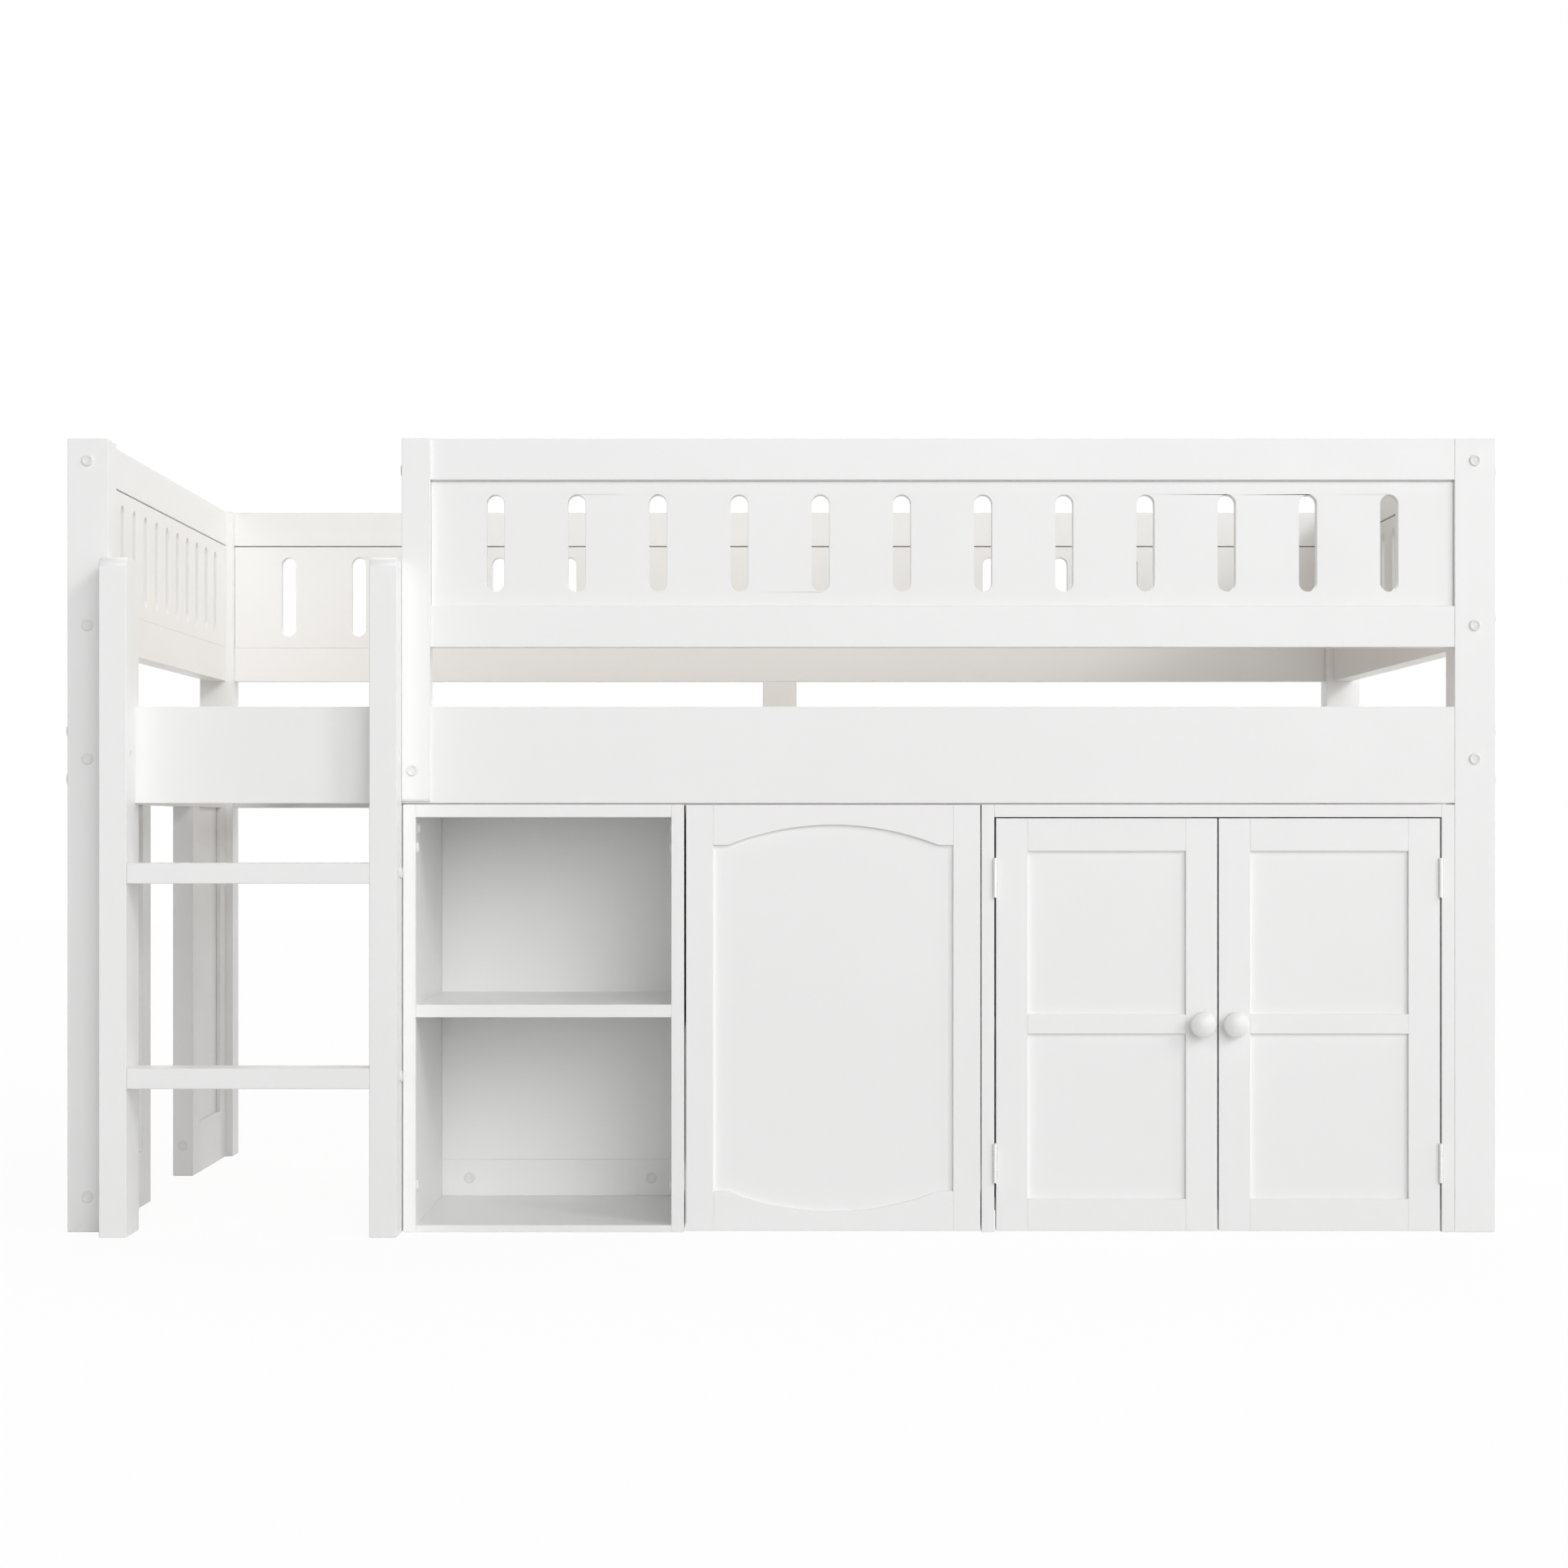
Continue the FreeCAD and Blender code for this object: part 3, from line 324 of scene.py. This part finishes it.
paintSettings = {
    "paint": (0.925, 0.925, 0.922, 1.0),
    "deepTone": (0.890, 0.889, 0.885, 1.0),
    "rubbed": (0.80, 0.79, 0.77, 1.0),   # where the film is thin over an arris
    "rubAmount": 0.5,
    "woodRub": 3 * mm, "boardRub": 2 * mm,
    "sheen": 0.34,
    "coat": 0.12, "coatRoughness": 0.3,
    "alongX": (2.5, 110.0, 110.0),
    "alongY": (110.0, 2.5, 110.0),
    "alongZ": (110.0, 110.0, 2.5),
    "allWays": (6.0, 6.0, 6.0),
    "woodGrain": 0.30, "boardGrain": 0.05,
    "cloudAmount": 0.8, "boardVariety": 0.35,
    "bump": (0.16, 0.25 * mm),
}


def makePaint(name, stretch, grainDepth, rubReach):
    settings = paintSettings
    coat = {"Coat Weight": settings["coat"], "Coat Roughness": settings["coatRoughness"]}
    material, tree, shader, where = startMaterial(name, coat)
    film = useSkin(tree, "paintFilm", {
        "Place": where, "Paint": settings["paint"], "Deep Tone": settings["deepTone"],
        "Grain Stretch": settings[stretch], "Grain Depth": settings[grainDepth],
        "Cloud Amount": settings["cloudAmount"], "Board Variety": settings["boardVariety"],
        "Sheen Level": settings["sheen"],
    })
    colour = rubEdges(tree, where, settings[rubReach], settings["rubAmount"], film["Color"], settings["rubbed"])
    wireSkin(tree, shader, colour, film["Roughness"], film["Height"], settings["bump"])
    return material


pineSettings = {
    "light": (0.80, 0.66, 0.47, 1.0),
    "dark": (0.68, 0.51, 0.33, 1.0),
    "knot": (0.30, 0.16, 0.08, 1.0),
    "rubbed": (0.82, 0.70, 0.53, 1.0),
    "rubAmount": 0.4, "rubReach": 3 * mm,
    "shine": 0.35,
    "bump": (0.3, 0.3 * mm),
}


def makePine(name):
    settings = pineSettings
    material, tree, shader, where = startMaterial(name, {"Specular IOR Level": settings["shine"]})
    figure = useSkin(tree, "pineFigure", {
        "Place": where, "Light Wood": settings["light"], "Dark Wood": settings["dark"], "Knot": settings["knot"],
    })
    colour = rubEdges(tree, where, settings["rubReach"], settings["rubAmount"], figure["Color"], settings["rubbed"])
    wireSkin(tree, shader, colour, figure["Roughness"], figure["Height"], settings["bump"])
    return material


metalSettings = {
    "zincSteel": {
        "Plating": (0.72, 0.72, 0.73, 1.0), "Clouded": (0.58, 0.58, 0.60, 1.0),
        "Brushing": (300.0, 300.0, 300.0), "Sheen Level": 0.34,
    },
    "hingePlating": {
        "Plating": (0.80, 0.79, 0.77, 1.0), "Clouded": (0.70, 0.69, 0.67, 1.0),
        "Brushing": (120.0, 120.0, 1400.0), "Sheen Level": 0.30,
    },
    "bump": (0.2, 0.05 * mm),
}


def makeMetal(name):
    material, tree, shader, where = startMaterial(name, {"Metallic": 1.0})
    skin = useSkin(tree, "metalSkin", {"Place": where, **metalSettings[name]})
    wireSkin(tree, shader, skin["Color"], skin["Roughness"], skin["Height"], metalSettings["bump"])
    return material


plasticSettings = {
    "capPlastic": {
        "Plastic": (0.865, 0.863, 0.856, 1.0), "Dulled": (0.81, 0.808, 0.80, 1.0),
        "Texture Size": 2600.0, "Sheen Level": 0.36,
    },
    "catchPlastic": {
        "Plastic": (0.80, 0.79, 0.76, 1.0), "Dulled": (0.74, 0.73, 0.70, 1.0),
        "Texture Size": 2200.0, "Sheen Level": 0.42,
    },
    "shine": 0.5,
    "bump": (0.25, 0.05 * mm),
}


def makePlastic(name):
    material, tree, shader, where = startMaterial(name, {"Specular IOR Level": plasticSettings["shine"]})
    skin = useSkin(tree, "mouldedSkin", {"Place": where, **plasticSettings[name]})
    wireSkin(tree, shader, skin["Color"], skin["Roughness"], skin["Height"], plasticSettings["bump"])
    return material


wheelSettings = {
    "tyre": {
        "Plastic": (0.045, 0.045, 0.048, 1.0), "Dulled": (0.085, 0.083, 0.08, 1.0),
        "Texture Size": 1500.0, "Sheen Level": 0.45,
    },
    "axle": {
        "Plating": (0.62, 0.62, 0.63, 1.0), "Clouded": (0.48, 0.48, 0.49, 1.0),
        "Brushing": (900.0, 60.0, 60.0), "Sheen Level": 0.3,
    },
    "axleRadius": 4.6 * mm,
    "shine": 0.5,
    "bump": (0.2, 0.05 * mm),
}


def axisMask(tree, where, y, z, radius):
    # One inside the radius about a line along X at the given place, and zero outside
    parts = place(tree, "ShaderNodeSeparateXYZ", None, {0: where}).outputs
    offY = sums(tree, "SUBTRACT", parts["Y"], y)
    offZ = sums(tree, "SUBTRACT", parts["Z"], z)
    squared = sums(tree, "MULTIPLY_ADD", offY, offY, sums(tree, "MULTIPLY", offZ, offZ))
    return sums(tree, "LESS_THAN", squared, radius * radius)


def blendValues(tree, mask, first, second):
    return sums(tree, "MULTIPLY_ADD", sums(tree, "SUBTRACT", second, first), mask, first)


def makeWheelset(name, node):
    # Dark nylon wheels on a bright steel axle, told apart by the distance from the axle's line
    settings = wheelSettings
    low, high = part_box(node)
    material, tree, shader, where = startMaterial(name, {"Specular IOR Level": settings["shine"]})
    tyre = useSkin(tree, "mouldedSkin", {"Place": where, **settings["tyre"]})
    axle = useSkin(tree, "metalSkin", {"Place": where, **settings["axle"]})
    mask = axisMask(tree, where, (low.y + high.y) / 2, (low.z + high.z) / 2, settings["axleRadius"])
    colour = blendColours(tree, mask, tyre["Color"], axle["Color"])
    roughness = blendValues(tree, mask, tyre["Roughness"], axle["Roughness"])
    height = blendValues(tree, mask, tyre["Height"], axle["Height"])
    wireSkin(tree, shader, colour, roughness, height, settings["bump"])
    tree.links.new(mask, shader.inputs["Metallic"])
    return material


knobSettings = {
    "film": {
        "Paint": (0.89, 0.888, 0.882, 1.0), "Deep Tone": paintSettings["deepTone"],
        "Grain Stretch": (8.0, 8.0, 8.0), "Grain Depth": 0.05,
        "Cloud Amount": 0.5, "Board Variety": 0.2, "Sheen Level": 0.34,
    },
    "coat": 0.12, "coatRoughness": 0.2,
    "ringPitch": 9000.0, "ringDepth": 0.12,
    "bump": (0.15, 0.15 * mm),
}


def makeKnobPaint(name, node):
    # Glossier sprayed paint with faint lathe rings about the knob's own axis
    settings = knobSettings
    low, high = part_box(node)
    middle = ((low.x + high.x) / 2, 0.0, (low.z + high.z) / 2)
    coat = {"Coat Weight": settings["coat"], "Coat Roughness": settings["coatRoughness"]}
    material, tree, shader, where = startMaterial(name, coat)
    film = useSkin(tree, "paintFilm", {"Place": where, **settings["film"]})
    flat = vectorSums(tree, "MULTIPLY", where, (1.0, 0.0, 1.0))
    radius = vectorSums(tree, "DISTANCE", flat, middle)
    rings = sums(tree, "SINE", sums(tree, "MULTIPLY", radius, settings["ringPitch"]), 0.0)
    height = sums(tree, "MULTIPLY_ADD", rings, settings["ringDepth"], film["Height"])
    wireSkin(tree, shader, film["Color"], film["Roughness"], height, settings["bump"])
    return material


woodX = makePaint("paintedWoodAlongX", "alongX", "woodGrain", "woodRub")
woodY = makePaint("paintedWoodAlongY", "alongY", "woodGrain", "woodRub")
woodZ = makePaint("paintedWoodAlongZ", "alongZ", "woodGrain", "woodRub")
paintedBoard = makePaint("paintedBoard", "allWays", "boardGrain", "boardRub")
pine = makePine("pineSlats")
zincSteel = makeMetal("zincSteel")
hingePlating = makeMetal("hingePlating")
capPlastic = makePlastic("capPlastic")
catchPlastic = makePlastic("catchPlastic")
print("materials made")


def chooseMaterial(name):
    # The finish and the grain direction of each node
    if name == "bed_slats":
        return pine
    if name == "frame_bolts":
        return zincSteel
    if name == "bolt_caps":
        return capPlastic
    if "hinge" in name:
        return hingePlating
    if "wheelset" in name:
        return makeWheelset(name + "Finish", name)
    if "knob" in name:
        return makeKnobPaint(name + "Finish", name)
    if name.startswith(("post_", "ladder_rail", "front_guard_post", "rear_guard_post", "leg_frame")):
        return woodZ
    if name.startswith(("left_end", "right_end")) and "panel" not in name:
        return woodY
    if name.startswith(("side_rail", "front_guard", "rear_guard", "ladder_rungs")) and "panel" not in name:
        return woodX
    return paintedBoard


for name, node in nodes.items():
    node.material_slots[0].material = chooseMaterial(name)


# Rounded arrises on the carried-over solids

# Width in mm, by the start of the node's name; nodes that aren't here are round already
arrisWidths = {
    "post_": 0.8, "side_rail_": 0.8, "front_guard_": 0.8, "rear_guard_": 0.8, "left_end_": 0.8, "right_end_": 0.8,
    "leg_frame_": 0.8, "ladder_": 1.2, "shelf_": 0.7, "cabinet_": 0.7, "bed_slats": 2.0, "desk_front_frame": 0.6,
    "desk_front_panel": 0.4, "desk_top": 0.8, "desk_rear_end": 0.8, "desk_back_panel": 0.8, "desk_axle_blocks": 1.5,
    "door_left_frame": 0.5, "door_right_frame": 0.5, "door_left_panels": 0.4, "door_right_panels": 0.4,
}
arrisSettings = {
    "digits": 6, "mergeWithin": 0.002 * mm,
    "flatWithin": 0.6, "fromAngle": 40,   # degrees
    "segments": 2,
}
jointedNodes = ("leg_frame_", "desk_front_frame", "door_left_frame", "door_right_frame", "shelf_back")


def markSolids(node):
    # One vertex group for each closed solid, so that boards that touch aren't welded together
    mesh = node.data
    digits = arrisSettings["digits"]
    spots = [tuple(round(value, digits) for value in vertex.co) for vertex in mesh.vertices]
    openEdges, members, names = set(), set(), []
    for polygon in mesh.polygons:
        corners = list(polygon.vertices)
        members.update(corners)
        for first, second in zip(corners, corners[1:] + corners[:1]):
            if spots[first] != spots[second]:
                openEdges ^= {frozenset((spots[first], spots[second]))}
        if not openEdges:
            names.append("solid" + str(len(names)))
            node.vertex_groups.new(name=names[-1]).add(list(members), 1.0, "REPLACE")
            members = set()
    return names


def buildPlainNormals():
    # Drops the normals that came with the mesh and keeps which faces are flat, so that new edges shade right
    group = bpy.data.node_groups.new("plainNormals", "GeometryNodeTree")
    group.interface.new_socket(name="Geometry", in_out="INPUT", socket_type="NodeSocketGeometry")
    group.interface.new_socket(name="Geometry", in_out="OUTPUT", socket_type="NodeSocketGeometry")
    smooth = place(group, "GeometryNodeInputShadeSmooth").outputs[0]
    flat = place(group, "FunctionNodeBooleanMath", {"operation": "NOT"}, {0: smooth}).outputs[0]
    wires = {"Mesh": group.nodes.new("NodeGroupInput").outputs[0], "Remove Custom": True, "Face Sharpness": flat}
    plain = place(group, "GeometryNodeSetMeshNormal", {"mode": "SHARPNESS"}, wires)
    group.links.new(plain.outputs[0], group.nodes.new("NodeGroupOutput").inputs[0])
    return group


plainNormals = buildPlainNormals()


def roundArrises(node, width):
    settings = arrisSettings
    normals = node.modifiers.new("normals", "NODES")
    normals.node_group = plainNormals
    groups = markSolids(node) if node.name.startswith(jointedNodes) else [""]
    for group in groups:
        weld = node.modifiers.new("join" + group, "WELD")
        weld.merge_threshold = settings["mergeWithin"]
        weld.vertex_group = group
    flatten = node.modifiers.new("flatten", "DECIMATE")
    flatten.decimate_type = "DISSOLVE"
    flatten.angle_limit = math.radians(settings["flatWithin"])
    bevel = node.modifiers.new("arris", "BEVEL")
    bevel.width = width * mm
    bevel.segments = settings["segments"]
    bevel.limit_method = "ANGLE"
    bevel.angle_limit = math.radians(settings["fromAngle"])
    bevel.use_clamp_overlap = False
    bevel.miter_outer = "MITER_SHARP"


for name, node in nodes.items():
    found = [width for start, width in arrisWidths.items() if name.startswith(start)]
    if found:
        roundArrises(node, found[0])
print("arrises rounded")


# Fittings that the solids leave out

screwSettings = {
    "sides": 20,
    "crossReach": 0.55, "crossWidth": 0.16, "crossDepth": 0.45,   # shares of the radius
    "crossFloor": 0.8,   # how far the recess narrows towards its floor
    # each ring's share of the radius, its height as a share of the rise, its depth as a share of the radius
    "rings": ((0.9, 0.8, 0.0), (1.0, 0.0, 0.0), (0.96, 0.0, 0.2)),
}


def crossOutline(reach, half):
    # The twelve corners of a cross, four arms about the middle
    arm = [(reach, -half), (reach, half), (half, half)]
    outline = []
    for quarter in range(4):
        c, s = round(math.cos(quarter * math.pi / 2)), round(math.sin(quarter * math.pi / 2))
        outline += [(x * c - y * s, x * s + y * c) for x, y in arm]
    return outline


def addScrewHead(mesh, centre, outward, radius, rise, turn=0.0):
    # A countersunk head with a cross recess, its rim sunk in the wood and its crown just proud
    settings = screwSettings
    sides, floorShare = settings["sides"], settings["crossFloor"]
    outline = crossOutline(radius * settings["crossReach"], radius * settings["crossWidth"])
    frameTurn = Vector(outward).to_track_quat("Z", "Y").to_matrix() @ Matrix.Rotation(turn, 3, "Z")

    def spot(x, y, z):
        return mesh.verts.new(Vector(centre) + frameTurn @ Vector((x, y, z)))

    crossFloor = rise - radius * settings["crossDepth"]
    floorRing = [spot(x * floorShare, y * floorShare, crossFloor) for x, y in outline]
    crossRing = [spot(x, y, rise) for x, y in outline]
    rings = []
    for share, riseShare, depthShare in settings["rings"]:
        reach, z = radius * share, rise * riseShare - radius * depthShare
        angles = [step * math.tau / sides for step in range(sides)]
        rings.append([spot(reach * math.cos(angle), reach * math.sin(angle), z) for angle in angles])
    mesh.faces.new(floorRing)
    for low, high in [(floorRing, crossRing)] + list(zip(rings, rings[1:])):
        count = len(low)
        for step in range(count):
            following = (step + 1) % count
            corners = (low[step], low[following], high[following], high[step])
            mesh.faces.new(corners if low is floorRing else corners[::-1])
    loop = [
        mesh.edges.get((ring[step], ring[(step + 1) % len(ring)]))
        for ring in (crossRing, rings[0]) for step in range(len(ring))
    ]
    bmesh.ops.bridge_loops(mesh, edges=loop)


def addRoundedBox(mesh, low, high, rounding, segments=2):
    # A box with softly rounded edges
    made = bmesh.ops.create_cube(mesh, size=1.0)["verts"]
    size = Vector(high) - Vector(low)
    for vertex in made:
        vertex.co = Vector(low) + Vector(tuple((vertex.co[k] + 0.5) * size[k] for k in range(3)))
    edges = dict.fromkeys(edge for vertex in made for edge in vertex.link_edges)   # each once, in a fixed order
    bmesh.ops.bevel(mesh, geom=list(edges), offset=rounding, segments=segments, profile=0.5, affect="EDGES")


def finishPiece(name, mesh, material, body, smoothAngle=35):
    bmesh.ops.recalc_face_normals(mesh, faces=mesh.faces)
    data = bpy.data.meshes.new(name)
    mesh.to_mesh(data)
    mesh.free()
    piece = bpy.data.objects.new(name, data)
    scene.collection.objects.link(piece)
    data.materials.append(material)
    data.polygons.foreach_set("use_smooth", [True] * len(data.polygons))
    data.set_sharp_from_angle(angle=math.radians(smoothAngle))
    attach(piece, body)


hingeScrewSettings = {
    "radius": 2.7 * mm, "rise": 0.12 * mm,
    # heights from the hinge's middle and depths from the leaf's front
    "places": ((-19.5 * mm, 7.0 * mm), (0.0, 10.5 * mm), (19.5 * mm, 7.0 * mm)),
    "leafGap": 0.3 * mm, "leafDepth": 15 * mm, "halfHeight": 28 * mm,
    "turnPerHeight": 210.0, "turnPerMiddle": 9.0, "fixedTurn": 0.6,   # so that no two crosses stand alike
}


def hingeSpots(leavesNode):
    # The pin's X, the leaf's front and the middle heights of both hinges of one door
    low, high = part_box(leavesNode)
    half = hingeScrewSettings["halfHeight"]
    return (low.x + high.x) / 2, high.y - hingeScrewSettings["leafDepth"], (low.z + half, high.z - half)


def buildHingeScrews():
    settings = hingeScrewSettings
    radius, rise, gap = settings["radius"], settings["rise"], settings["leafGap"]
    fixed = bmesh.new()
    for door, side in (("left", 1), ("right", -1)):
        moving = bmesh.new()
        pinX, leafFront, middles = hingeSpots("door_" + door + "_hinge_leaves")
        for middleZ in middles:
            for height, depth in settings["places"]:
                y, z = leafFront + depth, middleZ + height
                turn = height * settings["turnPerHeight"] + middleZ * settings["turnPerMiddle"]
                addScrewHead(moving, (pinX + side * gap, y, z), (-side, 0, 0), radius, rise, turn)
                turn += settings["fixedTurn"]
                addScrewHead(fixed, (pinX - side * gap, y, z), (side, 0, 0), radius, rise, turn)
        finishPiece("hinge_screws_" + door + "_door", moving, zincSteel, door + "_door")
    finishPiece("hinge_screws_cabinet", fixed, zincSteel, "bed")


slatScrewSettings = {
    "radius": 3.6 * mm, "rise": 0.15 * mm, "fromEnd": 13 * mm, "fromEdge": 17 * mm,
    "slats": 14, "slatWidth": 70 * mm,
    "turnPerX": 37, "turnPerY": 11,
}


def buildSlatScrews():
    settings = slatScrewSettings
    mesh = bmesh.new()
    low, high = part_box("bed_slats")
    pitch = (high.x - low.x - settings["slatWidth"]) / (settings["slats"] - 1)
    for slat in range(settings["slats"]):
        left = low.x + pitch * slat
        for x in (left + settings["fromEdge"], left + settings["slatWidth"] - settings["fromEdge"]):
            for y in (low.y + settings["fromEnd"], high.y - settings["fromEnd"]):
                turn = x * settings["turnPerX"] + y * settings["turnPerY"]
                addScrewHead(mesh, (x, y, high.z), (0, 0, 1), settings["radius"], settings["rise"], turn)
    finishPiece("slat_screws", mesh, zincSteel, "bed")


catchSettings = {
    "length": 44 * mm, "depth": 13 * mm, "height": 11 * mm, "rounding": 1.2 * mm,
    "gap": 0.4 * mm, "fromMiddle": 34 * mm,
    "strip": 1.2 * mm, "stripShares": (0.72, 0.38), "stripInset": 5 * mm,
    "stripProud": 0.2 * mm, "stripDepth": 2 * mm, "stripRounding": 0.2 * mm,
}
plateSettings = {
    "thickness": 1.2 * mm, "inset": 4 * mm, "drop": 2.2 * mm, "height": 12 * mm, "rounding": 0.35 * mm,
    "screwRadius": 2.6 * mm, "screwRise": 0.15 * mm, "screwTurn": 0.4,
}


def addCatch(housing, strips, left, right, front, roof):
    # The housing under the cabinet's top and the two steel strips that hold the plate
    settings = catchSettings
    low, high = (left, front, roof - settings["height"]), (right, front + settings["depth"], roof)
    addRoundedBox(housing, low, high, settings["rounding"])
    for share in settings["stripShares"]:
        z = roof - settings["height"] * share
        low = (left + settings["stripInset"], front - settings["stripProud"], z)
        high = (right - settings["stripInset"], front + settings["stripDepth"], z + settings["strip"])
        addRoundedBox(strips, low, high, settings["stripRounding"])


def buildStrikePlate(left, right, doorBack, roof):
    settings = plateSettings
    plate = bmesh.new()
    top = roof - settings["drop"]
    face = doorBack + settings["thickness"]
    screw = ((left + right) / 2, face, top - settings["height"] / 2)
    addScrewHead(plate, screw, (0, 1, 0), settings["screwRadius"], settings["screwRise"], settings["screwTurn"])
    low = (left + settings["inset"], doorBack, top - settings["height"])
    addRoundedBox(plate, low, (right - settings["inset"], face, top), settings["rounding"])
    return plate


def buildDoorCatches():
    # A magnetic catch under the cabinet's top for each door, and the steel plate that it holds
    settings = catchSettings
    housing, strips = bmesh.new(), bmesh.new()
    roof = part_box("cabinet_top")[0].z
    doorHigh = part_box("door_left_frame")[1]
    middleX = (doorHigh.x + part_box("door_right_frame")[0].x) / 2
    front = doorHigh.y + plateSettings["thickness"] + settings["gap"]
    for door, side in (("left", -1), ("right", 1)):
        near = middleX + side * settings["fromMiddle"]
        left, right = sorted((near, near + side * settings["length"]))
        addCatch(housing, strips, left, right, front, roof)
        plate = buildStrikePlate(left, right, doorHigh.y, roof)
        finishPiece("strike_plate_" + door + "_door", plate, zincSteel, door + "_door")
    finishPiece("door_catch_housings", housing, catchPlastic, "bed")
    finishPiece("door_catch_strips", strips, zincSteel, "bed")


buildHingeScrews()
buildSlatScrews()
buildDoorCatches()
print("fittings added")


# Camera, floor and light

cameraSettings = {
    "x": -11 * mm, "height": 572.2 * mm, "distance": 4320 * mm,   # distance from the front posts' faces
    "lens": 70.1, "sensor": 36.0, "shiftX": 0.00673, "shiftY": 0.02795, "clipEnd": 60.0,
}


def setCamera():
    settings = cameraSettings
    data = bpy.data.cameras.new("camera")
    data.lens, data.sensor_width, data.sensor_fit = settings["lens"], settings["sensor"], "HORIZONTAL"
    data.shift_x, data.shift_y = settings["shiftX"], settings["shiftY"]
    data.clip_end = settings["clipEnd"]
    camera = bpy.data.objects.new("camera", data)
    scene.collection.objects.link(camera)
    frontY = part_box("post_front_left")[0].y
    camera.location = (settings["x"], frontY - settings["distance"], settings["height"])
    camera.rotation_euler = (math.radians(90), 0.0, 0.0)
    scene.camera = camera


def seenDirectly(tree):
    # One for rays that show a surface itself: camera, mirror and see-through rays
    path = place(tree, "ShaderNodeLightPath").outputs
    shown = sums(tree, "MAXIMUM", path["Is Camera Ray"], path["Is Glossy Ray"])
    return sums(tree, "MAXIMUM", shown, path["Is Transmission Ray"])


white = (1.0, 1.0, 1.0, 1.0)
floorSettings = {
    "reach": 14.0, "squares": 8,
    "lit": (0.70, 0.70, 0.70, 1.0),   # what the floor throws back on the bed
    "shadowShare": 0.06, "glow": 1.0,
}


def buildFloor():
    settings = floorSettings
    mesh = bmesh.new()
    squares = settings["squares"]
    bmesh.ops.create_grid(mesh, x_segments=squares, y_segments=squares, size=settings["reach"])
    data = bpy.data.meshes.new("floor")
    mesh.to_mesh(data)
    mesh.free()
    floor = bpy.data.objects.new("floor", data)
    scene.collection.objects.link(floor)
    material = bpy.data.materials.new("studioFloor")
    material.use_nodes = True
    tree = material.node_tree
    tree.nodes.clear()
    plain = place(tree, "ShaderNodeBsdfDiffuse", None, {"Color": settings["lit"]})
    shadowed = place(tree, "ShaderNodeBsdfDiffuse", None, {"Color": white})
    bright = place(tree, "ShaderNodeEmission", None, {"Color": white, "Strength": settings["glow"]})
    parts = {0: settings["shadowShare"], 1: bright.outputs[0], 2: shadowed.outputs[0]}
    shown = place(tree, "ShaderNodeMixShader", None, parts)
    parts = {0: seenDirectly(tree), 1: plain.outputs[0], 2: shown.outputs[0]}
    both = place(tree, "ShaderNodeMixShader", None, parts)
    place(tree, "ShaderNodeOutputMaterial", None, {"Surface": both.outputs[0]})
    data.materials.append(material)


lightSettings = {
    "skyStrength": 0.2,
    "lamps": [
        # name, degrees to the right of the front, degrees up, strength, angle in degrees
        ("frontSoftbox", 10, 20, 0.92, 40),
        ("frontLow", 30, 12, 0.44, 40),
        ("keyRight", 48, 30, 0.54, 14),
        ("sideRight", 90, 25, 0.84, 50),
        ("backTop", 180, 45, 1.32, 60),
    ],
}


def setLight():
    world = bpy.data.worlds.new("studio")
    scene.world = world
    world.use_nodes = True
    tree = world.node_tree
    tree.nodes.clear()
    shown = seenDirectly(tree)
    dim = lightSettings["skyStrength"]
    strength = sums(tree, "MULTIPLY_ADD", shown, 1.0 - dim, dim)
    sky = place(tree, "ShaderNodeBackground", None, {"Color": white, "Strength": strength})
    place(tree, "ShaderNodeOutputWorld", None, {"Surface": sky.outputs[0]})
    for name, aside, rise, power, angle in lightSettings["lamps"]:
        lamp = bpy.data.lights.new(name, "SUN")
        lamp.energy, lamp.angle = power, math.radians(angle)
        holder = bpy.data.objects.new(name, lamp)
        scene.collection.objects.link(holder)
        holder.rotation_euler = (math.radians(90 - rise), 0.0, math.radians(aside))


setCamera()
buildFloor()
setLight()
scene.view_settings.view_transform = "Standard"
print("camera, floor and light set")
